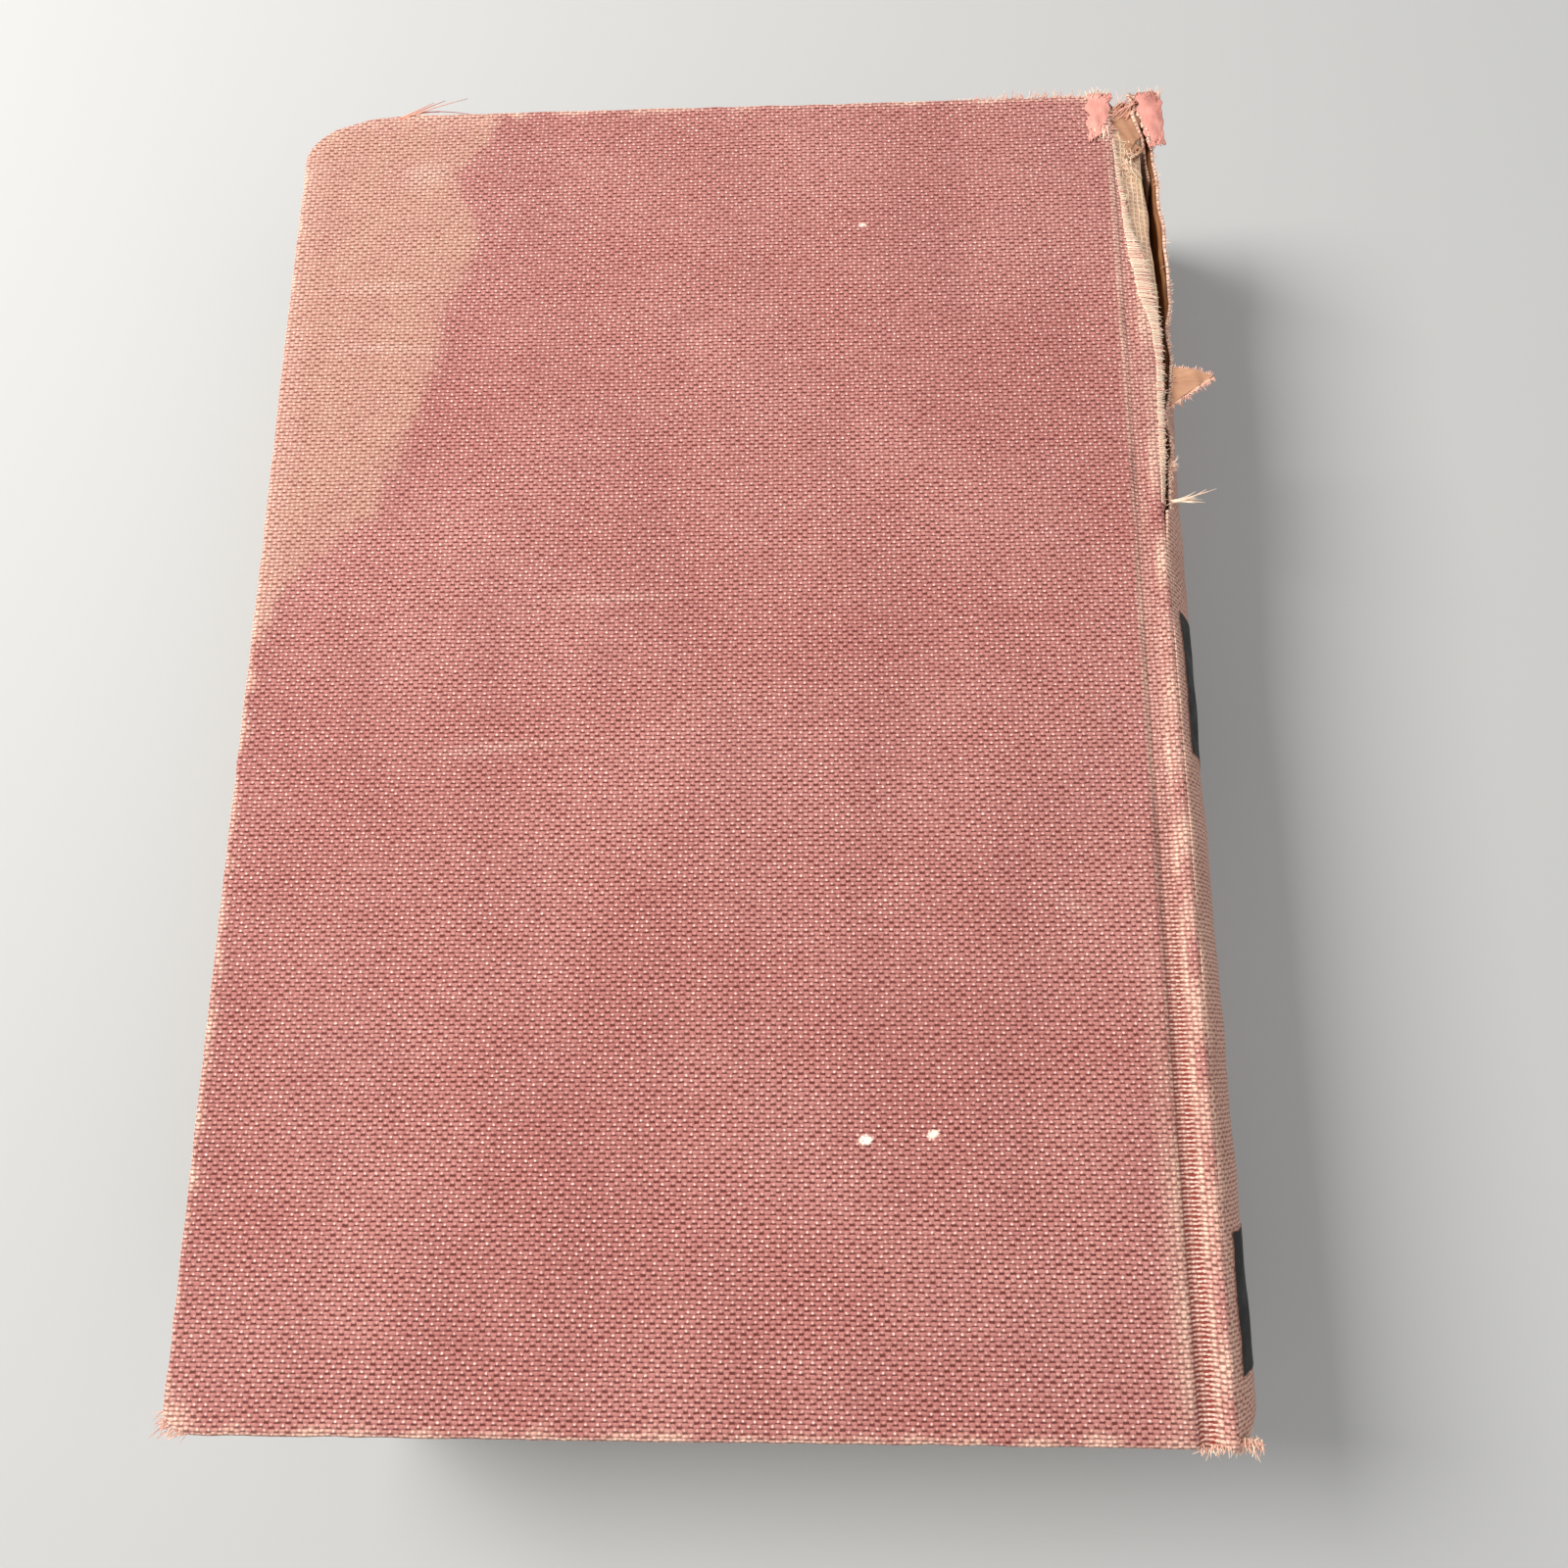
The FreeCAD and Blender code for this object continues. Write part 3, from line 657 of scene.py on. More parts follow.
def upper_wear(points, cloth):
    """Fade, rubbing with painted light and sheen, and rungs with painted pit shade for the upper cover,
    from each point's place on the flat cloth.
    """
    x, y = cloth[:, 0], cloth[:, 1]
    from_head, from_fore = HEAD - y, x - FORE
    line_at = np.interp(from_head, TIDE_LINE[:, 0], TIDE_LINE[:, 1]) + swell(x, y, 0.9, 7, 41)
    fade = 0.95 * smooth((line_at - from_fore) / 2.4 + 0.5) * (0.90 + swell(x, y, 0.12, 9, 42))
    edge = np.minimum(np.minimum(np.abs(from_fore), np.abs(from_head)), np.abs(HEAD + y))
    beyond = np.minimum(np.minimum(from_fore, from_head), HEAD + y) < 0
    fade = fade * (0.55 + 0.45 * smooth((edge - 1.2) / 4.5))
    reach = np.maximum(1.3 + swell(x, y, 0.7, 6, 43), 0.4)
    rub = smooth(1.25 - edge / reach) * (0.62 + swell(x, y, 0.35, 5, 44))
    rub = np.where(beyond, rub * smooth(1.4 - edge / 2.0), rub)
    corner_h = np.hypot(from_fore / 1.6, from_head)
    corner_t = np.hypot(from_fore, HEAD + y)
    rub = np.maximum(rub, 0.7 * smooth(1.3 - corner_h / 6))
    rub = np.maximum(rub, 0.8 * smooth(1.4 - corner_t / 5))
    ridge = smooth((x - 68.0) / 1.1) * (0.42 + swell(x, y, 0.26, 9, 45))
    rub = np.maximum(rub, ridge)
    # A light line along the board's edge by the joint: partly rubbed threads, partly a painted sheen.
    rub_and_sheen_line_x = 64.85 + 0.0085 * y
    line = np.exp(-(((x - rub_and_sheen_line_x) / 0.42) ** 2)) * (1 + swell(x, y, 0.5, 14, 46))
    rub = np.maximum(rub, 0.66 * line)
    lip = np.exp(-(((x - 68.1) / 0.55) ** 2)) * (0.75 + swell(x, y, 0.35, 8, 47))
    rub = np.maximum(rub, lip * smooth((20 - y) / 30))
    low = smooth((-12 - y) / 50)
    groove = np.exp(-(((x - 66.3) / 1.7) ** 4))
    columns = np.exp(-(((x - 65.1) / 0.5) ** 2)) + np.exp(-(((x - 67.0) / 0.5) ** 2))
    # Painted shade for the groove's pits, strongest low down and in two columns; the same value raises
    # the rungs.
    grime = groove * (0.04 + low * (0.24 + 0.76 * columns))
    # Across the groove the threads go lighter: partly bare threads, partly painted light against the
    # groove's shade.
    rub = np.maximum(rub, groove * (0.24 + 0.16 * low))
    # A painted sheen: a pale strip just left of the groove, in the lower part.
    rub = np.maximum(rub, 0.26 * np.exp(-(((x - 62.4) / 1.0) ** 2)) * low)
    near_line = smooth((line_at - from_fore) / 2.4 + 0.5)
    rub = np.maximum(rub, 0.30 * near_line * smooth(1 - (edge - 1.5) / 4))
    return {"fade": np.clip(fade, 0, 1), "rub": np.clip(rub, 0, 1), "grime": np.clip(grime, 0, 1)}


upper_path, upper_normal = cover_outline(HEAD_CORNER, TAIL_CORNER, 21)
upper_cloth = case_cloth("upper_case_cloth", "upper", upper_path, upper_normal, upper_wear, True)
settle(upper_cloth, None, "bookcloth", "upper_cover_cloth")

# %% Where the lower cover is worn
lower_path, lower_normal = cover_outline(SOFT_CORNER, SOFT_CORNER, 22)


def lower_wear(points, cloth):
    """The lower cover has only rubbed edges, and a little painted shade in its joint's pits."""
    x, y = cloth[:, 0], cloth[:, 1]
    edge = np.minimum(np.minimum(np.abs(x - FORE), np.abs(HEAD - y)), np.abs(HEAD + y))
    rub = smooth(1.2 - edge / 1.5) * (0.45 + swell(x, y, 0.35, 6, 53))
    rub = np.maximum(rub, smooth((x - 68.2) / 1.2) * (0.40 + swell(x, y, 0.25, 9, 55)))
    grime = 0.35 * np.exp(-(((x - 66.5) / 1.7) ** 4))
    return {"fade": 0.12 + swell(x, y, 0.12, 40, 56), "rub": np.clip(rub, 0, 1), "grime": grime}


lower_cloth = case_cloth("lower_case_cloth", "lower", lower_path, lower_normal, lower_wear, False)
settle(lower_cloth, None, "bookcloth", "lower_cover_cloth")

# %% [markdown]
# ## The boards and the endpapers glued inside them
#
# A board is grey-brown pulp board, hidden by cloth and paper, but it has to follow the bumped
# corners or it would poke through them. It is a fan like the cloth: rings out to the outline,
# down its edge, and back to the middle of the other face, with the inner face lower along
# three edges where the cloth turns in. The pastedown is the same fan again, one leaf thick.

# %% Paper and board finishes


def paper(name, light, dark, grain, roughness=0.85, stain=0.35, edge=None, strength=0.5):
    """Aged paper: long soft clouds, fine fibres, brown foxing dots, toned where "toned" says."""
    f = Finish(name, roughness, 0.2)
    place = f.node("TexCoord", out=3)
    cloud = f.noise(place, 35.0, 4.0, 0.6)
    fibre = f.noise(f.scaled(place, grain), 1.0, 5.0, 0.7)
    fox = f.noise(place, 420.0, 2.0, 0.5)
    colour = f.mix(f.span(cloud, 0.30, 0.72, 0.0, stain), light, dark)
    colour = f.mix(f.span(fibre, 0.42, 0.68, 0.0, 0.35), colour, dark)
    colour = f.mix(f.span(fox, 0.70, 0.80, 0.0, 0.55), colour, shade(150, 104, 62))
    if edge:
        colour = f.mix(f.attribute("toned"), colour, edge)
    f.colour(colour)
    f.relief(f.sum("ADD", fibre, f.sum("MULTIPLY", cloud, 0.5)), 0.05, strength)
    return f.material


PULP = paper("pulp_board", shade(176, 158, 130), shade(128, 108, 84), (900, 900, 900), 0.95, 0.6)
ENDPAPER = paper("aged_endpaper", shade(232, 221, 198), shade(203, 182, 146), (700, 700, 700),
                 edge=shade(176, 143, 104))
LEAF = paper("leaf_paper", shade(229, 217, 190), shade(201, 179, 141), (500, 1600, 500),
             edge=shade(190, 164, 128))
KRAFT = paper("kraft_paper", shade(172, 118, 74), shade(108, 66, 38), (2600, 160, 2600), 0.8, 0.7,
              strength=0.8)
SCRAP = paper("frayed_pink_cloth", shade(246, 178, 162), shade(172, 92, 84), (3000, 520, 900),
              0.85, 0.7, strength=1.0)
CLOTH_BACK = paper("torn_cloth_back", shade(208, 162, 130), shade(146, 98, 72), (260, 2400, 900),
                   0.85, 0.9, strength=1.0)
LINING = paper("glued_lining", shade(226, 194, 142), shade(172, 134, 98), (900, 260, 900), 0.7, 0.8,
               strength=0.9)
print("papers made")


# %% Boards and pastedowns


def closed_fan(outline, normal, insets, heights, shares, top, bottom, centre):
    """Rings from a point above, over the rim, to a point below; the straight side is closed too."""
    start = outline - normal * insets[0]
    last = outline - normal * insets[-1]
    upper = centre + shares[:, None, None] * (start - centre)
    rim = outline - insets[:, None, None] * normal
    lower = centre + shares[::-1, None, None] * (last - centre)
    plan = np.concatenate([upper[:-1], rim, lower[1:]])
    z = np.concatenate([top(upper[:-1]), np.broadcast_to(heights[:, None], rim.shape[:2]),
                        bottom(lower[1:])])
    grid = np.concatenate([plan, z[..., None]], axis=2)
    rings, stations = grid.shape[:2]
    points = np.concatenate([grid.reshape(-1, 3), [[*centre, z[0, 0]], [*centre, z[-1, 0]]]])
    number = np.arange(rings * stations).reshape(rings, stations)
    top_pole, low_pole = rings * stations, rings * stations + 1
    ahead = np.roll(number, -1, axis=1)
    band = np.stack([number[:-1], ahead[:-1], ahead[1:], number[1:]], axis=2).reshape(-1, 4)
    caps = [[top_pole, b, a] for a, b in zip(number[0], ahead[0])]
    caps += [[low_pole, a, b] for a, b in zip(number[-1], ahead[-1])]
    return points, band, caps


def with_joint_side(outline, normal, x_end, inset):
    """The outline carried back along the joint, so that it closes with two square corners."""
    keep = outline[:, 0] < x_end - 0.1
    y = np.linspace(HEAD - inset, inset - HEAD, 42)[1:-1]
    corner = np.array([[x_end, HEAD]])
    side = np.stack([np.full(len(y), x_end), y], axis=1)
    path = np.concatenate([outline[keep], corner, side, corner * (1, -1)])
    out = np.concatenate([normal[keep], [[0.0, 1.0]], np.tile([1.0, 0.0], (len(y), 1)), [[0.0, -1.0]]])
    return path, out


def lay_on(side, points):
    """The upper cover's points, or their mirror under the book."""
    return points if side == "upper" else points * (1, 1, -1) + (0, 0, TOP)


def turned(side, faces):
    """Faces in order for the upper cover, and turned round for its mirror."""
    faces = np.asarray(faces)
    return (faces if side == "upper" else faces[:, ::-1]) if len(faces) else faces


def board(name, side, outline, normal):
    """The pulp board, its inner face lower where the cloth turns in."""
    path, out = with_joint_side(outline, normal, BOARD_EDGE - 0.4, CLOTH_THICK)
    insets = CLOTH_THICK + 0.12 + np.array([0.5, 0.15, 0.0, 0.0, 0.15, 0.5])
    top_z, low_z = TOP - 0.75, TOP - COVER_THICK + CLOTH_THICK + 0.06
    heights = np.array([top_z, top_z - 0.15, top_z - 0.5, low_z + 0.5, low_z + 0.15, low_z])
    shares = np.array([0.25, 0.5, 0.75, 0.83, 0.87, 0.9, 0.95, 1.0])

    def inner(plan):
        inside = np.minimum(plan[..., 0] - FORE, HEAD - np.abs(plan[..., 1]))
        return low_z - (CLOTH_THICK - 0.06) * smooth((inside - TURN_IN - 0.6) / 0.8)

    points, band, caps = closed_fan(path, out, insets, heights, shares,
                                    lambda plan: np.full(plan.shape[:2], top_z), inner,
                                    np.array([0.0, 0.0]))
    made = piece(name, lay_on(side, points), turned(side, band), PULP, extra=turned(side, caps))
    return settle(made, f"{side}_cover", "board", f"{side}_board")


def pastedown(name, side, outline, normal, inset):
    """The endpaper half glued over the turn-ins: it shows their step, and is toned at its rim."""
    path, out = with_joint_side(outline, normal, BOARD_EDGE - 0.2, inset)
    top_z = TOP - COVER_THICK - 0.02
    insets = inset + np.array([0.02, 0.0, 0.0, 0.02])
    out = out * np.where(out[:, :1] > 0.99, 0.0, 1.0)
    heights = np.array([top_z, top_z - 0.03, top_z - 0.15, top_z - 0.18])
    shares = np.linspace(0, 1, 26)[1:]

    def relief_of(plan):
        return top_z + swell(plan[..., 0], plan[..., 1], 0.012, 30, 61)

    points, band, caps = closed_fan(path, out, insets, heights, shares,
                                    relief_of, lambda plan: relief_of(plan) - 0.18,
                                    np.array([0.0, 0.0]))
    inside = np.minimum(points[:, 0] - FORE, HEAD - np.abs(points[:, 1])) - inset
    toned = 0.75 * np.exp(-np.abs(inside) / 7) + swell(points[:, 0], points[:, 1], 0.1, 25, 62)
    made = piece(name, lay_on(side, points), turned(side, band), ENDPAPER,
                 masks={"toned": np.clip(toned, 0, 1)}, extra=turned(side, caps))
    return settle(made, f"{side}_cover", "endpaper", f"{side}_pastedown")


SQUARE = 3.0
for side, path, normal in (("upper", upper_path, upper_normal), ("lower", lower_path, lower_normal)):
    board(f"{side}_cover_board", side, path, normal)
    pastedown(f"{side}_cover_endpaper", side, path, normal, SQUARE)

# %% [markdown]
# ## The spine of the case
#
# The spine is cloth over a strip of kraft paper, bent to an arc and turned in at head and
# tail. Along the upper shoulder the cloth has torn from the head down, and the freed edge
# has sprung outward, so that the paper inside shows. One function places every layer: it
# takes an angle round the spine, a radius and a height along the book, and adds the spring
# of the torn part. All the layers then open together and never cut through each other.

# %% Places on the spine
ARC_TOP = np.arccos((CLOTH_END - ARC_X) / SPINE_RADIUS)
FREE_ANGLE = ARC_TOP - 0.055
SPRING = np.array([(-108, 0), (24, 0), (30, 0.6), (36, 1.1), (42, 1.5), (50, 2.2), (58, 3.0), (66, 3.6),
                   (72, 3.8), (80, 3.8), (88, 3.5), (97, 3.0), (104, 2.5), (112, 2.3)])


def spring(y):
    """How far the torn edge stands out, in mm, at each height along the book."""
    total = sum(np.interp(y + shift, SPRING[:, 0], SPRING[:, 1]) for shift in (-3, -1, 1, 3))
    return total / 4 + waver(y, 0.25, 13, 71) * smooth((y - 30) / 8)


CAP_TOP = TOP - 0.5


def on_spine(angle, radius, y):
    """A point on the spine: the arc, pushed outward where the torn edge has sprung."""
    share = np.clip((angle - 0.12) / (FREE_ANGLE - 0.12), 0, 1.2) ** 2
    out = spring(y) * share
    x = ARC_X + radius * np.cos(angle) + out
    z = np.minimum(MIDDLE_Z + radius * np.sin(angle) - 0.32 * out, CAP_TOP)
    return np.stack(np.broadcast_arrays(x, y, z), axis=-1)


# %% The spine cloth
CAP_DEPTH = 1.75
CAP_ROLL = 0.6
cap_turn = np.linspace(0, np.pi / 2, 6)[1:]
CAP_INSET = np.concatenate([CAP_ROLL * (1 - np.sin(cap_turn)), CAP_ROLL * (1 - np.cos(cap_turn)),
                            [1.5, 4, 8, 12, TURN_IN]])
CAP_DOWN = np.concatenate([CAP_ROLL * (1 - np.cos(cap_turn)),
                           CAP_DEPTH - CAP_ROLL * (1 - np.sin(cap_turn)), np.full(5, CAP_DEPTH)])
cap_step = np.hypot(np.diff(CAP_INSET, prepend=CAP_ROLL), np.diff(CAP_DOWN, prepend=0))
CAP_RUN = np.cumsum(cap_step) - CAP_ROLL

face_y = np.linspace(CAP_ROLL - HEAD, HEAD - CAP_ROLL, 330)
spine_y = np.concatenate([(CAP_INSET - HEAD)[::-1], face_y, HEAD - CAP_INSET])
spine_v = np.concatenate([-(HEAD + CAP_RUN)[::-1], face_y, HEAD + CAP_RUN])
spine_down = np.concatenate([CAP_DOWN[::-1], np.zeros(len(face_y)), CAP_DOWN])
free = spine_y > TEAR_ROOT
ragged = (0.012 + waver(spine_y, 0.007, 4.0, 72) + waver(spine_y, 0.008, 11, 73))
# Above this height the cap still bridges the tear, as a ragged patch of the same cloth.
CAP_FROM = HEAD - 11.0
bridge = smooth((spine_y - CAP_FROM) / 1.6) * (0.155 + waver(spine_y, 0.03, 3.5, 77))
start_angle = np.where(free, FREE_ANGLE + ragged * smooth((spine_y - TEAR_ROOT) / 5) + bridge, ARC_TOP)
across = np.linspace(0, 1, 64)
angle = start_angle[:, None] + across * (-ARC_TOP - start_angle[:, None])
# The head cap is frayed and dented, the tail cap a little.
dent = 0.9 * smooth((spine_y - 103) / 5) + 0.7 * smooth((-spine_y - 105) / 3)
radius = SPINE_RADIUS - spine_down[:, None] - dent[:, None] * (0.5 + 0.5 * np.sin(angle * 5 + 0.6))
radius = radius + swell(spine_y[:, None], angle * SPINE_RADIUS, 0.12, 16, 74)
spine_points = on_spine(angle, radius, spine_y[:, None])
spine_u = CLOTH_END + 0.9 + (ARC_TOP - angle) * SPINE_RADIUS
spine_uv = np.stack([spine_u, np.broadcast_to(spine_v[:, None], spine_u.shape)], axis=-1)

y_all = np.broadcast_to(spine_y[:, None], angle.shape)
from_edge = (start_angle[:, None] - angle) * SPINE_RADIUS
spine_rub = smooth(1.0 - from_edge / (2.6 + swell(y_all, angle * 20, 1.2, 9, 75))) * 0.62
spine_rub = np.maximum(spine_rub, 0.9 * smooth(1.1 - (HEAD - np.abs(spine_v))[:, None] / 2.2))
spine_rub = np.maximum(spine_rub, np.where(free[:, None], 0.85 * smooth(1 - from_edge / 1.2), 0))
spine_rub = np.maximum(spine_rub, 0.22 + swell(y_all, angle * 24, 0.07, 20, 76))
spine_rub = np.maximum(spine_rub, 0.5 * smooth(1 - (angle + ARC_TOP) * SPINE_RADIUS / 2.0))
spine_cloth = piece(
    "spine_case_cloth", spine_points.reshape(-1, 3), grid_faces(*angle.shape), BUCKRAM,
    spine_uv.reshape(-1, 2) / (WARP_PITCH, WEFT_PITCH),
    {"fade": np.full(angle.size, 0.80), "rub": np.clip(spine_rub, 0, 1), "grime": np.zeros(angle.size)},
)
wall = spine_cloth.modifiers.new("thickness", "SOLIDIFY")
wall.thickness, wall.offset = CLOTH_THICK * MM, -1
settle(spine_cloth, "block", "bookcloth", "spine_cloth")

# %% [markdown]
# ## Paper and gauze inside the spine
#
# Behind the cloth is the kraft strip. Across a narrow hollow lies the block's own back:
# lining paper over mull, an open glued gauze that also runs out over the joint and ties the
# block to its covers. The tear shows all of them, so each is a bent sheet with thickness.


# %% Curved sheets round the back


def back_sheet(name, inner, thick, ends, angles, finish, slot, node, ripple, seed, rows=170, cols=40):
    """A sheet on the arc between two angles, each given per row, rippled and as thick as said."""
    y = np.linspace(*ends, rows)
    low, high = (np.broadcast_to(a(y) if callable(a) else a, y.shape) for a in angles)
    turn_to = low[:, None] + np.linspace(0, 1, cols) * (high - low)[:, None]
    y = y[:, None] + np.zeros_like(turn_to)
    bumpy = swell(y, turn_to * inner, ripple, 5, seed) + swell(y, turn_to * inner, ripple, 16, seed + 1)
    make = on_spine if node == "spine_inlay" else on_back
    outer = make(turn_to, inner + thick + bumpy, y)
    under = make(turn_to, inner + bumpy, y)
    points, faces = skin(outer, under)
    return settle(piece(name, points, outward(points, faces), finish), "block", slot, node)


def on_back(angle, radius, y):
    """A point on the block's rounded back, which keeps its shape."""
    x, z = ARC_X + radius * np.cos(angle), MIDDLE_Z + radius * np.sin(angle)
    return np.stack(np.broadcast_arrays(x, y, z), axis=-1)


def torn_top(y):
    """The kraft strip's upper edge, torn and standing a little short of the cloth."""
    cut = FREE_ANGLE - 0.03 + waver(y, 0.02, 6, 81)
    return np.where(y > TEAR_ROOT, cut, ARC_TOP - 0.045)


kraft_low = -ARC_TOP + 0.045
back_sheet("spine_kraft_strip", SPINE_RADIUS - 1.22, 0.7, (-107.2, 107.0),
           (kraft_low, torn_top), KRAFT, "kraft", "spine_inlay", 0.03, 82)
BACK_TOP = np.arcsin((33.4 - MIDDLE_Z) / 23.4)
back_sheet("back_lining_paper", 23.40, 0.24, (-102.0, 102.0),
           (-BACK_TOP, lambda y: BACK_TOP - 0.06 + waver(y, 0.05, 9, 83)), LINING,
           "lining_paper", "spine_lining", 0.05, 84)

# %% Mull, with its flange over the joint


def gauze(name):
    """Open glued gauze: thin pale threads in both directions over yellowed glue."""
    f = Finish(name, 0.75, 0.3)
    place = f.node("UVMap", uv_map="cloth")
    jog = f.scaled(f.node("TexNoise", out=1, sockets={"Vector": place, "Scale": 0.5}), (0.9, 0.9, 0))
    split = f.tree.nodes.new("ShaderNodeSeparateXYZ")
    f.put(split.inputs[0], f.node("VectorMath", sockets={0: place, 1: jog}, operation="ADD"))

    def thread(axis):
        """Bright along the middle of each thread: |fract - 0.5| small."""
        off = f.sum("ABSOLUTE", f.sum("SUBTRACT", f.sum("FRACT", split.outputs[axis]), 0.5))
        return f.span(off, 0.24, 0.10)

    weave = f.sum("MAXIMUM", thread(0), thread(1))
    glue = f.noise(place, 0.22, 4.0, 0.6)
    spots = f.noise(f.scaled(place, (0.5, 0.16, 1)), 1.0, 3.0)
    colour = f.mix(f.span(glue, 0.35, 0.65), shade(208, 164, 134), shade(182, 142, 122))
    colour = f.mix(f.span(spots, 0.5, 0.72, 0, 0.6), colour, shade(226, 200, 140))
    colour = f.mix(f.sum("MULTIPLY", weave, 0.6), colour, shade(240, 214, 180))
    f.colour(colour)
    f.relief(f.sum("ADD", weave, glue), 0.12, 0.8)
    return f.material


MULL = gauze("glued_mull")
mull_y = np.linspace(-99.0, 99.0, 260)[:, None]
back_angle = np.linspace(-BACK_TOP, BACK_TOP - 0.02, 44)
flange_share = np.linspace(0, 1, 12)[1:]
wander = waver(mull_y, 0.6, 7, 85)
on_round = on_back(back_angle + 0 * mull_y, 23.36 + 0 * mull_y, mull_y)
root = on_round[:, -1:, :]
rise_x = root[..., 0] - (2.1 + wander) * flange_share
rise_z = root[..., 2] + 1.75 * flange_share**0.75 + swell(mull_y, 4 * flange_share, 0.10, 6, 86)
flange = np.stack([rise_x, np.broadcast_to(mull_y, rise_x.shape), rise_z], axis=-1)
mull_top = np.concatenate([on_round, flange], axis=1)
step = np.gradient(mull_top, axis=1)
inward = np.stack([-step[..., 2], 0 * step[..., 1], step[..., 0]], axis=-1)
inward /= np.linalg.norm(inward, axis=-1)[..., None]
run = np.cumsum(np.linalg.norm(np.diff(mull_top, axis=1, prepend=mull_top[:, :1]), axis=-1), axis=1)
mull_uv = np.stack([run / 0.9, mull_top[..., 1] / 0.9], axis=-1).reshape(-1, 2)
mull_points, mull_faces = skin(mull_top, mull_top + 0.22 * inward)
mull = piece("mull_gauze", mull_points, outward(mull_points, mull_faces), MULL,
             np.concatenate([mull_uv, mull_uv]))
settle(mull, "block", "mull", "mull")

# %% [markdown]
# ## Head and tail bands, and the two blank panels
#
# A band is a cord wound with thread in stripes, glued on the end of the block's back. Here
# the bead's radius swells with each turn of thread. The panels are thin black labels, their
# edges a little uneven, rubbed grey and through to the cloth at the corners.

# %% Bands


def banded(name):
    """Two colours of thread by turns, from the value "turn" along the band."""
    f = Finish(name, 0.6, 0.35, Sheen_Weight=0.2)
    twist = f.attribute("turn")
    stripe = f.sum("FLOORED_MODULO", f.sum("FLOOR", f.sum("DIVIDE", twist, 3.0)), 2.0)
    shade_between_turns = f.sum("ABSOLUTE", f.sum("SUBTRACT", f.sum("FRACT", twist), 0.5))
    dirt = f.noise(f.node("TexCoord", out=3), 600.0, 3.0)
    colour = f.mix(stripe, shade(214, 196, 160), shade(150, 84, 62))
    # Painted shade darkens the narrow places between the turns of thread.
    colour = f.mix(f.span(shade_between_turns, 0.30, 0.5, 0, 0.6), colour, shade(96, 66, 48))
    colour = f.mix(f.span(dirt, 0.45, 0.75, 0, 0.5), colour, shade(150, 122, 92))
    f.colour(colour)
    f.relief(dirt, 0.05, 0.5)
    return f.material


BAND = banded("headband_thread")
BAND_TURNS = 84
BAND_RING = 21.8


def band(name, node, sign):
    """A bead along the arc; its radius is 0.72 + 0.12 times how far into a turn it is."""
    along = np.linspace(0, 1, BAND_TURNS * 5)[:, None]
    round_it = np.linspace(0, 2 * np.pi, 13)[None, :-1]
    angle = BACK_TOP * 0.985 * (1 - 2 * along)
    taper = smooth(along / 0.015) * smooth((1 - along) / 0.015)
    size = (0.70 + 0.13 * np.abs(np.sin(np.pi * BAND_TURNS * along))) * (0.12 + 0.88 * taper)
    radius = BAND_RING + size * np.cos(round_it)
    y = sign * (105.86 + size * np.sin(round_it)) + 0 * angle
    points = on_back(angle, radius, y)
    rows, cols = points.shape[:2]
    number = np.arange(rows * cols).reshape(rows, cols)
    ahead = np.roll(number, -1, axis=1)
    faces = np.stack([number[:-1], ahead[:-1], ahead[1:], number[1:]], axis=2).reshape(-1, 4)
    caps = [number[0][::-1].tolist(), number[-1].tolist()]
    flip = outward(points.reshape(-1, 3), faces) is not faces
    turn_value = np.broadcast_to(BAND_TURNS * along, (rows, cols))
    made = piece(name, points.reshape(-1, 3), faces[:, ::-1] if flip else faces, BAND,
                 masks={"turn": turn_value}, extra=[c[::-1] for c in caps] if flip else caps)
    return settle(made, "block", "headband", node)


band("head_band_thread", "head_band", 1)
band("tail_band_thread", "tail_band", -1)

# %% Panels


def panel_finish(name):
    """Black glazed cloth, scuffed grey in patches, and tan where "scuffed" says it is through."""
    f = Finish(name, 0.60, 0.20)
    place = f.node("TexCoord", out=3)
    grain = f.noise(place, 2400.0, 3.0, 0.6)
    patch = f.noise(place, 160.0, 4.0, 0.65)
    lost = f.sum("ADD", f.attribute("scuffed"), f.span(patch, 0.55, 0.85, 0.0, 0.5))
    colour = f.mix(f.span(patch, 0.40, 0.75, 0.0, 0.6), shade(20, 19, 20), shade(46, 43, 43))
    colour = f.mix(f.span(f.sum("ADD", lost, f.sum("MULTIPLY", grain, 0.4)), 0.85, 1.15), colour,
                   shade(206, 150, 128))
    f.colour(colour)
    f.put(f.shader.inputs["Roughness"], f.span(patch, 0.35, 0.7, 0.52, 0.80))
    f.relief(grain, 0.04, 0.6)
    return f.material


PANEL = panel_finish("black_panel_cloth")


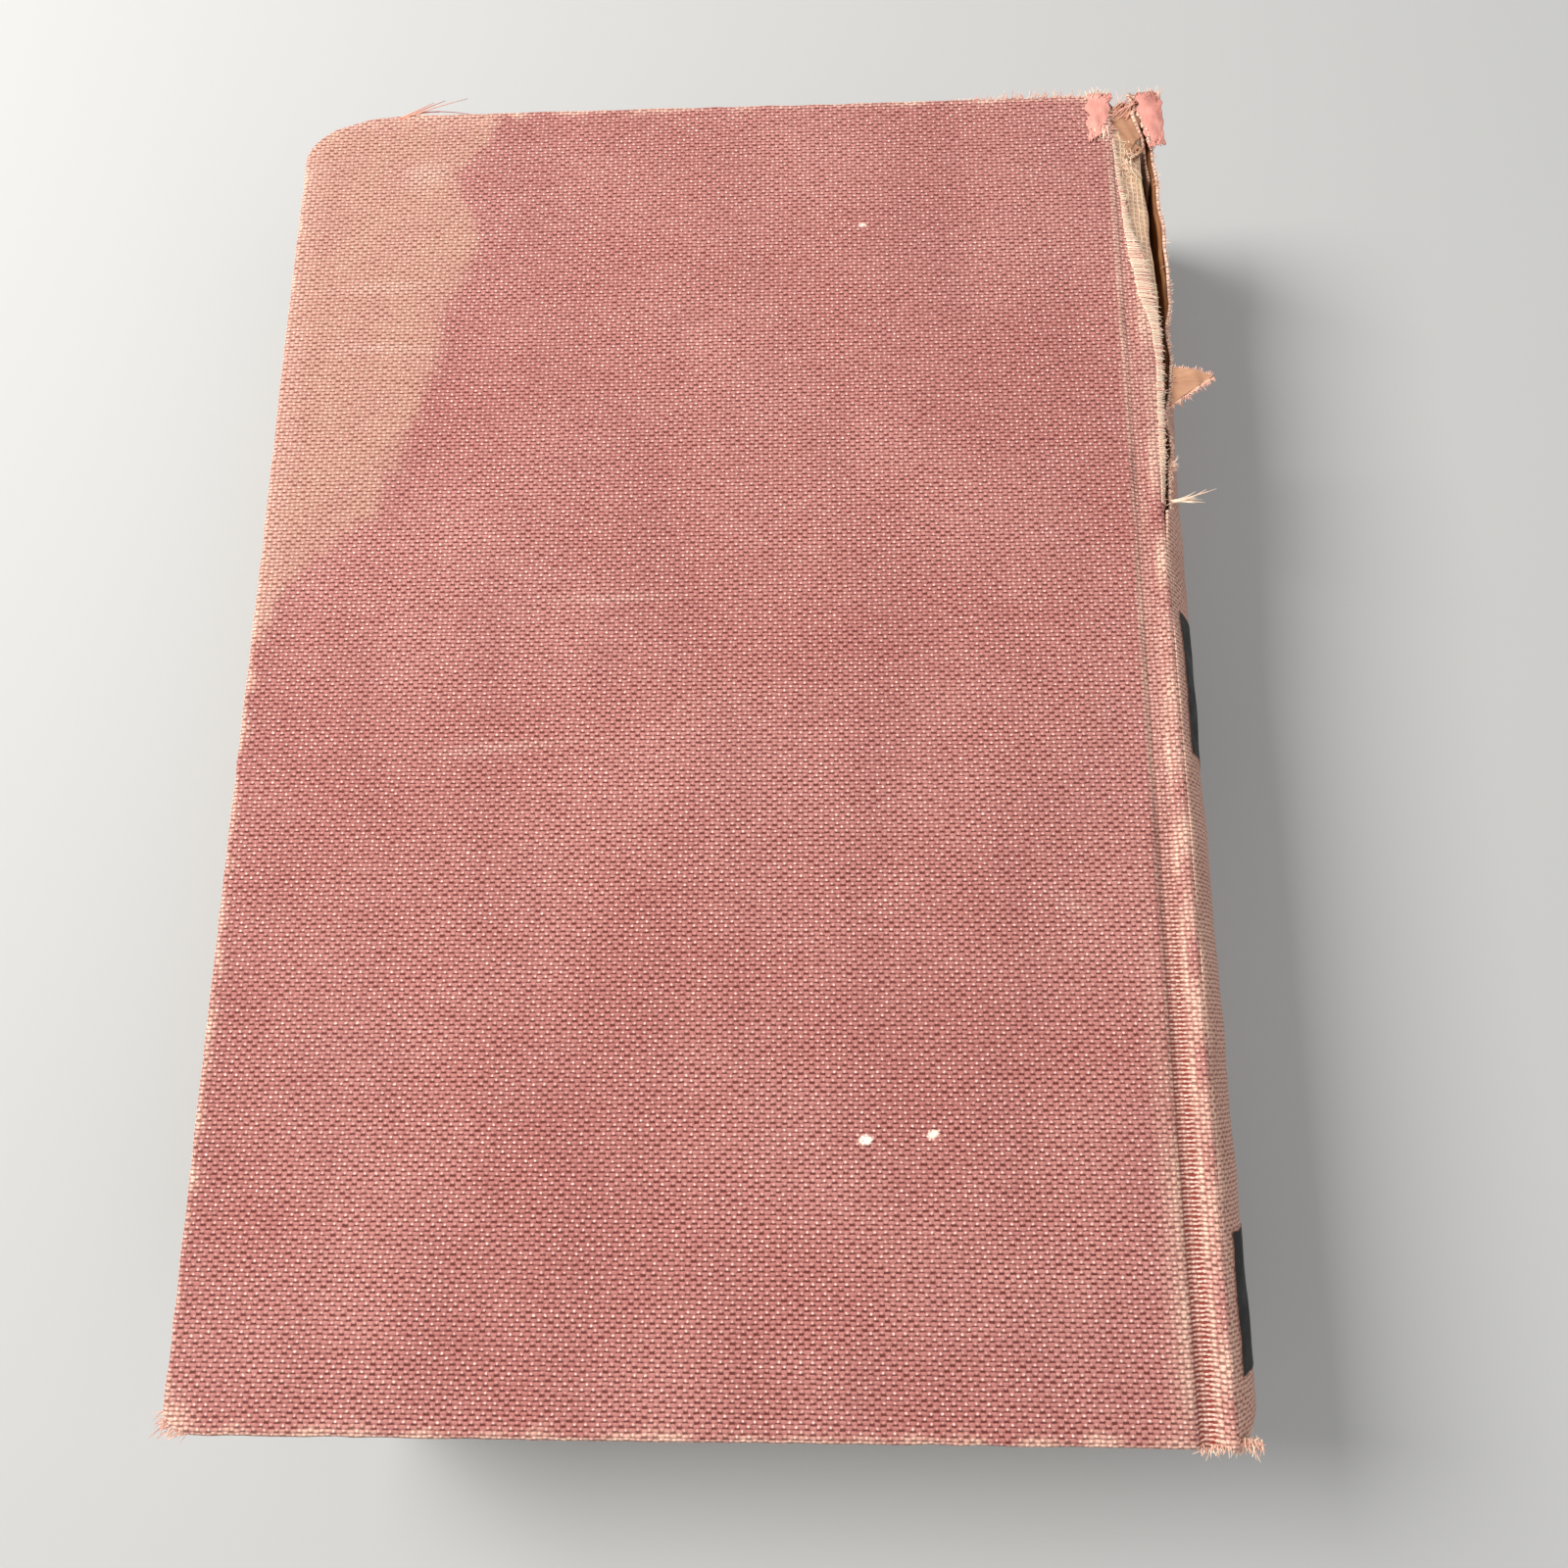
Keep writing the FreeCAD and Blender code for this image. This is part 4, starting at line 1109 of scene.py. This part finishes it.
def panel(name, node, seed):
    """A thin bent label in the place of its node, with slightly uneven edges."""
    low, high = node_box(node)
    top = np.arccos((low[0] - ARC_X) / SPINE_RADIUS)
    share_y, share_a = np.meshgrid(np.linspace(0, 1, 60), np.linspace(0, 1, 110), indexing="ij")
    wild_y = waver(share_a * 60, 0.07, 9, seed) * (2 * share_y - 1)
    wild_a = waver(share_y * 24, 0.004, 7, seed + 1) * (2 * share_a - 1)
    y = low[1] + share_y * (high[1] - low[1]) + wild_y
    angle = -top + share_a * 2 * top + wild_a
    lift = swell(y, angle * SPINE_RADIUS, 0.12, 16, 74) + 0.13
    outer, inner = (on_spine(angle, SPINE_RADIUS + lift - deep, y) for deep in (0.0, 0.16))
    points, faces = skin(outer, inner)
    edge = np.minimum(np.minimum(share_y, 1 - share_y) * 24, np.minimum(share_a, 1 - share_a) * 35)
    scuffed = np.clip(0.45 * smooth(1 - edge / 0.6) + 0.35 * smooth(1 - edge / 2), 0, 1)
    made = piece(name, points, outward(points, faces), PANEL,
                 masks={"scuffed": np.concatenate([scuffed.ravel(), scuffed.ravel()])})
    return settle(made, "block", "label", node)


panel("title_panel_label", "title_panel", 91)
panel("foot_panel_label", "foot_panel", 95)

# %% [markdown]
# ## The block of sections
#
# A section is four sheets folded together and sewn through the fold, so from the edges it
# reads as eight leaves and at the back as a round fold. Each sheet is made as it really is:
# one ribbon that runs in from the fore-edge, round the fold and out again. Every leaf gets
# its own tiny error in width and height, which is what makes a cut edge look like paper.
# The upper six sections are left in place on no body, though their leaves have extra points in a strip
# by the fold.

# %% Folded sheets
SECTIONS, FOLIOS = 20, 4
FIXED = 14
LEAF_THICK = 0.155
fixed_low, fixed_high = node_box("section_01")
SECTION_THICK = fixed_high[2] - fixed_low[2]
PITCH = node_box("section_02")[0][2] - fixed_low[2]
LEAF_HIGH = fixed_high[1]
BACK_RADIUS = 22.69
BEND_FROM, BEND_TO = 65.4, 59.8
draw_leaf = np.random.default_rng(101)


def folded_sheet(fore, fold_x, middle, half, y, worn):
    """A ribbon along y: in from the fore-edge, a half circle of radius half, and out again."""
    flat = np.concatenate([[0, 0.0015, 0.01, 0.05, 0.12, 0.3, 0.6, 0.85],
                           np.linspace(BEND_TO - 1, BEND_FROM + 1, 9), [fold_x - 0.6]])
    reach = np.where(flat <= 1, fore + flat * (BEND_TO - 2 - fore), flat)
    bend = np.linspace(np.pi / 2, -np.pi / 2, 9)[1:-1]
    x = np.concatenate([reach, fold_x + half * np.cos(bend), reach[::-1]])
    z = np.concatenate([np.full(len(reach), half), half * np.sin(bend), np.full(len(reach), -half)])
    nx = np.concatenate([np.zeros(len(reach)), np.cos(bend), np.zeros(len(reach))])
    nz = np.concatenate([np.ones(len(reach)), np.sin(bend), -np.ones(len(reach))])
    near = np.clip(1 - (x - fore) / 9, 0, 1)
    shrink = worn[0] * near**3 + worn[1]
    y_grid = y[:, None] * (1 - shrink[None, :] / LEAF_HIGH)
    x_grid = x + worn[2] * np.clip(np.abs(y[:, None]) / LEAF_HIGH - 0.9, 0, 1) * 10 * (near > 0.7)
    x_grid = x_grid + waver(y, 0.07, 40, worn[3])[:, None] * near
    z_grid = np.broadcast_to(z, x_grid.shape)
    outer = np.stack([x_grid, y_grid, middle + z_grid], axis=-1)
    step = np.stack([nx, 0 * nx, nz], axis=-1) * LEAF_THICK
    return skin(outer, outer - step)


def section(index):
    """All the sheets of one section as one mesh, with paper toned towards its edges."""
    number = f"{index + 1:02d}"
    middle = fixed_low[2] + SECTION_THICK / 2 + index * PITCH
    fold_x = ARC_X + np.sqrt((BACK_RADIUS - SECTION_THICK / 2) ** 2 - (middle - MIDDLE_Z) ** 2)
    node = f"section_{number}" if index < FIXED else f"section_{number}_leaves"
    fore = node_box(node)[0][0]
    y = LEAF_HIGH * np.sin(np.linspace(-1, 1, 17) * np.pi / 2)
    meshes, masks, count = [], [], 0
    for folio in range(FOLIOS):
        half = SECTION_THICK / 2 * (1 - folio / FOLIOS) - 0.006
        jitter = draw_leaf.uniform(0, 1, 3)
        worn = (0.5 * jitter[0], 0.22 * jitter[1], 0.25 * jitter[2], 200 + index * 7 + folio)
        points, faces = folded_sheet(fore + 0.22 * jitter[1], fold_x, middle, half, y, worn)
        faces = outward(points, faces)
        meshes.append((points, faces + count))
        count += len(points)
        inside = np.minimum(points[:, 0] - fore, LEAF_HIGH - np.abs(points[:, 1]))
        masks.append((0.45 + 0.4 * jitter[2]) * np.exp(-np.clip(inside, 0, None) / 2.2))
    points = np.concatenate([m[0] for m in meshes])
    faces = np.concatenate([m[1] for m in meshes])
    made = piece(f"gathering_{number}", points, faces, LEAF,
                 masks={"toned": np.clip(np.concatenate(masks), 0, 1)})
    made.data.polygons.foreach_set("use_smooth", np.zeros(len(made.data.polygons), bool))
    if index < FIXED:
        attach(made, "block")
        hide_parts(node)
    else:
        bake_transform(made)
        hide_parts(node, "upper_section_folds")
    return len(made.data.polygons)


print("faces in the block:", sum(section(index) for index in range(SECTIONS)))

# %% The two flyleaves


def flyleaf(name, node, z, end_x, seed):
    """One endpaper leaf, a little wavy, tipped to the block along its inner edge."""
    low, _ = node_box(node)
    x = np.concatenate([low[0] + np.array([0, 0.3, 1.0, 2.5]), np.linspace(low[0] + 6, BEND_TO - 1, 26),
                        np.linspace(BEND_TO, end_x, 9)])
    y = LEAF_HIGH * np.sin(np.linspace(-1, 1, 41) * np.pi / 2)[:, None]
    near = np.clip(1 - (x - low[0]) / 9, 0, 1)
    y_grid = y * (1 - 0.9 * near**3 / LEAF_HIGH) + 0 * x
    x_grid = x + 0.8 * np.clip(np.abs(y) / LEAF_HIGH - 0.93, 0, 1) * 12 * (near > 0.6)
    z_grid = z + swell(x_grid, y_grid, 0.012, 50, seed)
    top = np.stack([x_grid, y_grid, z_grid], axis=-1)
    points, faces = skin(top, top - (0, 0, 0.15))
    inside = np.minimum(points[:, 0] - low[0], LEAF_HIGH - np.abs(points[:, 1]))
    toned = np.clip(0.8 * np.exp(-np.clip(inside, 0, None) / 6), 0, 1)
    return piece(name, points, outward(points, faces), ENDPAPER, masks={"toned": toned})


front_leaf = flyleaf("front_endleaf", "front_flyleaf", 33.66, 67.2, 111)
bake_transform(front_leaf)
settle(front_leaf, None, "endpaper", "front_flyleaf")
back_leaf = flyleaf("back_endleaf", "back_flyleaf", 3.48, 67.6, 112)
settle(back_leaf, "block", "endpaper", "back_flyleaf")

# %% Sewing thread keeps its own solid


def linen(name):
    """Waxed linen thread: a fine twist along it."""
    f = Finish(name, 0.55, 0.4)
    twist = f.node("TexWave", sockets={"Vector": f.node("TexCoord", out=3), "Scale": 900.0,
                                       "Distortion": 2.0})
    f.colour(f.mix(twist, shade(196, 172, 130), shade(232, 214, 178)))
    f.relief(twist, 0.05, 0.8)
    return f.material


LINEN = linen("sewing_linen")
threads = frame["nodes"]["sewing_threads"]
threads.data.materials.clear()
threads.data.materials.append(LINEN)

# %% [markdown]
# ## Frayed threads
#
# Where the cloth has torn or rubbed through, its threads come loose: short stiff ends of the
# cross threads along the joint, a soft fringe on the sprung edge, tufts at the head cap and
# fuzz at the corners. Hair particles could do this, but a part needs real meshes, so every
# strand is a thin tube round a bent line. A strand's path is its root, plus its length along
# a direction, plus a droop that grows with the square of the way along.

# %% Strands


def strand_finish(name):
    """Undyed cotton core, pinker where the dye held; "tone" runs from 0 cream to 1 pink."""
    f = Finish(name, 0.85, 0.15, Sheen_Weight=0.25)
    tone = f.attribute("tone")
    fine = f.noise(f.node("TexCoord", out=3), 3000.0, 3.0)
    colour = f.mix(f.span(tone, 0.0, 0.5), shade(246, 228, 202), shade(236, 178, 156))
    colour = f.mix(f.span(tone, 0.5, 1.0), colour, shade(206, 122, 108))
    colour = f.mix(f.span(fine, 0.4, 0.8, 0.0, 0.4), colour, shade(170, 116, 88))
    f.colour(colour)
    f.relief(fine, 0.05, 0.5)
    return f.material


STRAND = strand_finish("frayed_thread")
SIDES = 5


def strands(name, paths, thick, tone, slot="bookcloth", body="block"):
    """Tubes round many paths at once: rings square to each path, tapered, closed at both ends."""
    count, steps = paths.shape[:2]
    ahead = np.gradient(paths, axis=1)
    ahead /= np.linalg.norm(ahead, axis=2)[..., None] + 1e-9
    near_up = np.where(np.abs(ahead[..., 2:3]) > 0.9, np.array([1.0, 0, 0]), np.array([0, 0, 1.0]))
    side = np.cross(ahead, near_up)
    side /= np.linalg.norm(side, axis=2)[..., None] + 1e-9
    other = np.cross(ahead, side)
    turn = np.arange(SIDES) * 2 * np.pi / SIDES
    taper = 1 - 0.6 * np.linspace(0, 1, steps) ** 2
    size = (np.broadcast_to(thick, (count,))[:, None] * taper)[..., None, None]
    ring = np.cos(turn)[:, None] * side[:, :, None] + np.sin(turn)[:, None] * other[:, :, None]
    points = (paths[:, :, None] + size * ring).reshape(-1, 3)
    number = np.arange(count * steps * SIDES).reshape(count, steps, SIDES)
    nxt = np.roll(number, -1, axis=2)
    faces = np.stack([number[:, :-1], nxt[:, :-1], nxt[:, 1:], number[:, 1:]], axis=3).reshape(-1, 4)
    caps = number[:, 0, ::-1].tolist() + number[:, -1].tolist()
    tones = np.repeat(np.broadcast_to(tone, (count,)), steps * SIDES)
    made = piece(name, points, faces, STRAND, masks={"tone": tones}, extra=caps)
    return settle(made, body, slot)


def bent(root, direction, length, droop, curl, draw, steps=6):
    """Paths from roots along directions, with droop downward and a random sideways curl."""
    share = np.linspace(0, 1, steps)[None, :, None]
    length = np.broadcast_to(length, (len(root),))[:, None, None]
    down = np.array([0, 0, -1.0]) * np.broadcast_to(droop, (len(root),))[:, None, None]
    twist = draw.normal(0, 1, (len(root), 1, 3)) * curl
    return root[:, None] + length * (direction[:, None] * share + (down + twist) * share**2)


def unit(v):
    """Each vector divided by its own length."""
    return v / np.linalg.norm(v, axis=-1)[..., None]


def edge_root(y, back):
    """A point on the joint cloth's torn edge, back mm inside it."""
    x = torn_end(y, True) - back
    return np.stack([x, y, joint_height(x, y) - 0.12], axis=-1)


def calm_end(y):
    """The torn edge with its small jags averaged away, where whole threads lie side by side."""
    return sum(torn_end(y + shift, True) for shift in (-3, -2, -1, 0, 1, 2, 3)) / 7


fray = np.random.default_rng(121)
# Cross threads laid bare along the torn joint: two plies for each thread of the cloth.
bare_y = np.repeat(np.arange(TEAR_ROOT + 0.8, 99.0, WEFT_PITCH), 2)
count = len(bare_y)
bare_y = bare_y + np.tile([-0.14, 0.15], count // 2) + fray.normal(0, 0.025, count)
BARE = np.array([(29, 0.7, 0.15), (36, 1.0, 0.2), (46, 1.2, 0.25), (56, 1.3, 0.3), (62, 1.7, 0.5),
                 (68, 2.9, 0.8), (75, 2.6, 0.8), (80, 1.3, 0.4), (86, 0.7, 0.3), (99, 0.5, 0.3)])
bare_back = np.interp(bare_y, BARE[:, 0], BARE[:, 1]) * fray.uniform(0.86, 1.05, count)
bare_over = np.interp(bare_y, BARE[:, 0], BARE[:, 2]) * fray.uniform(0.2, 1.4, count)
bare_x = calm_end(bare_y) - bare_back
bare_root = np.stack([bare_x, bare_y, joint_height(bare_x, bare_y) + 0.06], axis=-1)
bare_way = unit(np.stack([np.ones(count), fray.normal(-0.03, 0.03, count),
                          fray.normal(0.01, 0.01, count)], axis=-1))
bare = bent(bare_root, bare_way, bare_back + bare_over, 0.05, 0.02, fray, 8)
bare[..., 2] = joint_height(bare[..., 0], bare[..., 1]) + 0.05 - 0.10 * np.linspace(0, 1, 8) ** 2
strands("joint_bare_threads", bare, 0.115, np.clip(fray.normal(0.12, 0.14, count), 0, 1))

# Fine fluff among them.
FLUFF = 260
fluff_y = fray.uniform(TEAR_ROOT, 107.0, FLUFF)
fluff_root = edge_root(fluff_y, fray.uniform(-0.1, 0.9, FLUFF))
fluff_way = unit(np.stack([fray.normal(0.8, 0.5, FLUFF), fray.normal(0, 0.8, FLUFF),
                           fray.normal(0.1, 0.5, FLUFF)], axis=-1))
fluff = bent(fluff_root, fluff_way, fray.uniform(0.4, 1.2, FLUFF), 0.25, 0.25, fray)
strands("joint_fluff", fluff, 0.05, fray.uniform(0.0, 0.6, FLUFF))

# %% The fringe on the sprung edge of the spine
fringe_y = np.concatenate([np.arange(TEAR_ROOT + 2, 104, 0.31), fray.uniform(TEAR_ROOT, 104, 200)])
count = len(fringe_y)
fringe_y = fringe_y + fray.normal(0, 0.08, count)
edge_angle = FREE_ANGLE + np.interp(fringe_y, spine_y, ragged)
fringe_root = on_spine(edge_angle - 0.012, SPINE_RADIUS - 0.2, fringe_y)
fringe_way = unit(np.stack([fray.normal(0.35, 0.45, count), fray.normal(0, 0.45, count),
                            fray.normal(0.55, 0.4, count)], axis=-1))
fringe = bent(fringe_root, fringe_way, fray.uniform(0.25, 0.85, count), 0.2, 0.25, fray)
strands("spine_edge_fringe", fringe, fray.uniform(0.05, 0.10, count), fray.uniform(0.0, 0.6, count))

# %% [markdown]
# The head cap has come apart into two frayed scraps of cloth, one on the joint's end and one
# on the spine's, each with a tuft of threads. Between them lies a tan scrap of the cloth's
# inner face under a few brown strands of glued gauze. Below, a strip of the gauze has lifted,
# and lower down a three-cornered piece of the spine cloth has folded outward, tan face up.


# %% Tufts and loose ends


def tuft(name, low, high, number, way, spread, length, tone, thick=0.11, body="block", seed=1):
    """Threads from random roots in a box, fanned about one direction."""
    draw = np.random.default_rng(seed)
    root = draw.uniform(low, high, (number, 3))
    ways = unit(np.array(way) + draw.normal(0, spread, (number, 3)))
    long = draw.uniform(*length, number)
    tones = np.clip(draw.normal(tone, 0.22, number), 0, 1)
    return strands(name, bent(root, ways, long, 0.12, 0.22, draw), thick, tones, body=body)


tuft("head_tuft_joint", (62.2, 106.6, 36.7), (66.0, 107.8, 37.1), 90, (0.15, 1.0, 0.12),
     (0.22, 0.10, 0.14), (0.5, 1.7), 0.25, 0.07, "upper_cover", 131)
tuft("head_tuft_fibres", (61.9, 99.4, 36.9), (65.6, 101.4, 37.1), 40, (-0.10, -0.95, 0.03),
     (0.22, 0.16, 0.03), (0.6, 2.2), 0.15, 0.07, "upper_cover", 132)
tuft("head_tuft_spine", (70.6, 106.8, 35.6), (75.2, 107.8, 36.2), 110, (0.10, 1.0, 0.20),
     (0.22, 0.14, 0.18), (0.5, 2.0), 0.30, 0.07, seed=133)
tuft("head_tuft_between", (66.0, 103.0, 35.6), (69.2, 105.6, 36.2), 34, (0.70, 0.72, 0.12),
     (0.12, 0.12, 0.08), (2.5, 5.5), 0.50, 0.09, seed=134)
tuft("head_tuft_gauze", (66.8, 92.0, 35.6), (69.4, 99.0, 36.0), 50, (0.25, -0.6, 0.1),
     (0.35, 0.5, 0.1), (0.8, 2.6), 0.12, 0.06, seed=135)
tuft("tail_spine_fuzz", (69.5, -107.8, 34.3), (73.2, -106.6, 35.9), 110, (0.1, -0.8, 0.3),
     (0.5, 0.3, 0.35), (0.6, 2.0), 0.4, 0.08, seed=136)
tuft("tail_joint_fuzz", (64.5, -108.0, 35.4), (69.5, -107.2, 36.6), 70, (0.0, -0.9, 0.3),
     (0.5, 0.3, 0.3), (0.4, 1.4), 0.4, 0.08, seed=137)
tuft("fluff_knot", (71.4, 35.8, 34.6), (72.4, 37.2, 35.2), 50, (0.5, 0.0, 0.4),
     (0.6, 0.6, 0.4), (0.6, 2.0), 0.25, 0.06, seed=138)
tuft("loose_end", (71.4, 30.2, 35.0), (71.8, 30.6, 35.2), 9, (1.0, 0.02, 0.12),
     (0.03, 0.05, 0.05), (3.9, 4.8), 0.15, 0.13, seed=139)

# %% Scraps of cloth at the head cap


def scrap(name, middle, finish, body, worn=(0.5, 0.4), thick=0.26, slot="bookcloth"):
    """A torn scrap of cloth given as a grid of points, thickened downward, with worn threads.

    It rides on its body; "joint" means that it lies on the joint's cloth and is put on no body.
    """
    points, faces = skin(middle, middle - (0, 0, thick))
    masks = {"fade": np.full(len(points), worn[0]), "rub": np.full(len(points), worn[1]),
             "grime": np.zeros(len(points))}
    made = piece(name, points, outward(points, faces), finish,
                 points[:, :2] / (WARP_PITCH, WEFT_PITCH), masks)
    if body == "joint":
        bend_with_joint(made)
        body = None
    return settle(made, body, slot)


def torn_square(corners, seed, jag=0.30, lift=0.25, size=(44, 30)):
    """Between four corners, head side first: u runs head to tail, v left to right.

    Its rims wander by jag times (2v - 1)^3 across and (2u - 1)^3 along, so the middle is calm.
    """
    u, v = np.meshgrid(np.linspace(0, 1, size[0]), np.linspace(0, 1, size[1]), indexing="ij")
    a, b, c, d = np.array(corners, float)
    head_row = a + v[..., None] * (b - a)
    tail_row = d + v[..., None] * (c - d)
    grid = head_row + u[..., None] * (tail_row - head_row)
    grid[..., 0] += (2 * v - 1) ** 3 * waver(12 * u + 7 * v, jag, 3.4, seed)
    grid[..., 1] += (2 * u - 1) ** 3 * waver(9 * v + 20 * u, 1.4 * jag, 1.3, seed + 1)
    grid[..., 2] += lift * np.sin(np.pi * v) + swell(grid[..., 0], grid[..., 1], 0.12, 2.5, seed + 2)
    return grid


joint_scrap = torn_square([(62.0, 107.7, 37.1), (66.3, 107.5, 36.95), (65.2, 100.2, 36.8),
                           (61.9, 98.0, 37.05)], 161)
scrap("head_scrap_joint", joint_scrap, SCRAP, "joint", thick=0.16)
tan_scrap = torn_square([(65.6, 106.0, 35.9), (72.2, 106.8, 35.6), (70.6, 95.6, 35.3),
                         (67.3, 96.0, 35.6)], 164, 0.5, 0.3)
scrap("head_scrap_lining", tan_scrap, CLOTH_BACK, "block")
spine_scrap = torn_square([(70.5, 107.9, 36.9), (75.3, 108.2, 36.1), (75.5, 98.2, 35.6),
                           (72.4, 97.4, 36.2)], 167, 0.30, 0.35)
scrap("head_scrap_spine", spine_scrap, SCRAP, "block", thick=0.16)

# %% A strip of the gauze that has come up off the block's back beside the tear
# Where its free edge runs: (y, x).
LIFTED_EDGE = np.array([(62, 72.2), (70, 72.3), (78, 72.0), (90, 71.6), (101, 70.6)])
lift_y, lift_share = np.meshgrid(np.linspace(62, 101, 120), np.linspace(0, 1, 16), indexing="ij")
lift_from = calm_end(lift_y) - 1.2
lift_to = np.interp(lift_y, LIFTED_EDGE[:, 0], LIFTED_EDGE[:, 1]) + waver(lift_y, 0.12, 11, 171)
lift_x = lift_from + lift_share * (lift_to - lift_from)
lift_bump = swell(lift_y, 9 * lift_share, 0.10, 4, 172)
lift_z = joint_height(lift_from, lift_y) - 0.62 - 1.5 * lift_share**1.4 + lift_bump
lifted, lifted_faces = skin(np.stack([lift_x, lift_y, lift_z], axis=-1),
                            np.stack([lift_x, lift_y, lift_z - 0.2], axis=-1))
lifted_piece = piece("lifted_mull_strip", lifted, outward(lifted, lifted_faces), MULL,
                     lifted[:, :2] / 0.9)
settle(lifted_piece, "block", "mull")

# %% The flap folded outward
FLAP_ROOT = np.array([(73.4, 55.2, 34.4), (73.0, 48.3, 34.2)])
FLAP_TIP = np.array((80.4, 53.4, 34.6))
flap_u, flap_v = np.meshgrid(np.linspace(0, 1, 34), np.linspace(0, 1, 34), indexing="ij")
root_line = FLAP_ROOT[0] + flap_v[..., None] * (FLAP_ROOT[1] - FLAP_ROOT[0])
flap = root_line + flap_u[..., None] * (FLAP_TIP - root_line)
flap[..., 2] += 0.55 * np.sin(np.pi * flap_u) * (1 - 0.4 * flap_v) + swell(
    flap[..., 0], flap[..., 1], 0.12, 3, 141)
flap[..., :2] += 0.05 * np.sin(9 * flap_v + 4 * flap_u)[..., None]
scrap("torn_flap_back", flap, CLOTH_BACK, "block", thick=0.22)
scrap("torn_flap_cloth", flap - (0, 0, 0.24), BUCKRAM, "block", (0.7, 0.5), 0.22)
RIM_THREADS = 90
rim_share = np.linspace(0, 1, RIM_THREADS)
low_edge = FLAP_ROOT[1] + rim_share[:, None] * (FLAP_TIP - FLAP_ROOT[1])
high_edge = FLAP_ROOT[0] + rim_share[:, None] * (FLAP_TIP - FLAP_ROOT[0])
low_edge[:, 2] += 0.35 * np.sin(np.pi * rim_share)
high_edge[:, 2] += 0.5 * np.sin(np.pi * rim_share)
rim_root = np.concatenate([low_edge, high_edge[::2]])
rim_way = np.concatenate([np.tile([0.35, -0.9, 0.05], (RIM_THREADS, 1)),
                          np.tile([0.1, 0.9, 0.05], (RIM_THREADS // 2, 1))])
rim_way = unit(rim_way + fray.normal(0, 0.3, rim_way.shape))
rim_length = fray.uniform(0.4, 1.1, len(rim_root))
rim_paths = bent(rim_root - (0, 0, 0.2), rim_way, rim_length, 0.15, 0.2, fray)
strands("torn_flap_fringe", rim_paths, 0.09, fray.uniform(0.2, 0.7, len(rim_root)))

# %% Fuzz on the upper cover's corners and edges
tuft("tail_corner_fuzz", (FORE - 0.1, -107.9, 34.6), (FORE + 4.0, -105.0, 36.8), 130, (-0.8, -0.7, 0.3),
     (0.4, 0.4, 0.3), (0.4, 1.5), 0.45, 0.06, "upper_cover", 151)
tuft("head_corner_thread", (-60.6, 106.6, 36.7), (-60.0, 107.0, 36.9), 9, (0.90, 0.40, 0.08),
     (0.025, 0.04, 0.03), (4.5, 9.8), 0.75, 0.11, "upper_cover", 152)
EDGE_FUZZ = 230
edge_x = fray.uniform(38, 63, EDGE_FUZZ)
edge_rise = smooth((edge_x - 38) / 14)
head_root = np.stack([edge_x, np.full(EDGE_FUZZ, 107.5), fray.uniform(36.2, 36.95, EDGE_FUZZ)], axis=-1)
head_way = unit(np.stack([fray.normal(0, 0.5, EDGE_FUZZ), np.full(EDGE_FUZZ, 1.0),
                          fray.normal(0.45, 0.4, EDGE_FUZZ)], axis=-1))
head_length = (0.3 + edge_rise) * fray.uniform(0.3, 1.2, EDGE_FUZZ)
head_paths = bent(head_root, head_way, head_length, 0.1, 0.3, fray)
strands("head_edge_fuzz", head_paths, 0.06, fray.uniform(0.1, 0.8, EDGE_FUZZ), body="upper_cover")

# %% [markdown]
# ## What is cloth
#
# Each sheet is listed in a table with the size it was cut to: the case cloth in its three
# parts, with 15 mm turned in all round, and the gauze on the block's back. The table also
# gives how each sheet is held and the pieces under it, and lists the frayed threads and torn
# scraps with the sheet they came from. Only the sizes are printed.

# %% Sheets
SHEETS = {
    "upper_case_cloth": ((0.165, 0.252), "stretched", ["upper_cover_board", "upper_cover_endpaper"], [
        "joint_bare_threads", "joint_fluff", "head_tuft_joint", "head_tuft_fibres", "head_scrap_joint",
        "tail_joint_fuzz", "tail_corner_fuzz", "head_corner_thread", "head_edge_fuzz"]),
    "lower_case_cloth": ((0.165, 0.252), "stretched", ["lower_cover_board", "lower_cover_endpaper"], []),
    "spine_case_cloth": ((ARC_RUN / 1000, 0.252), "folded", ["spine_kraft_strip"], [
        "spine_edge_fringe", "head_tuft_spine", "head_tuft_between", "head_scrap_spine",
        "head_scrap_lining", "tail_spine_fuzz", "fluff_knot", "loose_end", "torn_flap_back",
        "torn_flap_cloth", "torn_flap_fringe"]),
    "mull_gauze": ((0.040, 0.198), "stretched", ["back_lining_paper"],
                   ["head_tuft_gauze", "lifted_mull_strip"]),
}
for sheet_name, (flat, held, under, scraps) in SHEETS.items():
    print(sheet_name, "cut to", [round(side * 1000, 1) for side in flat], "mm")
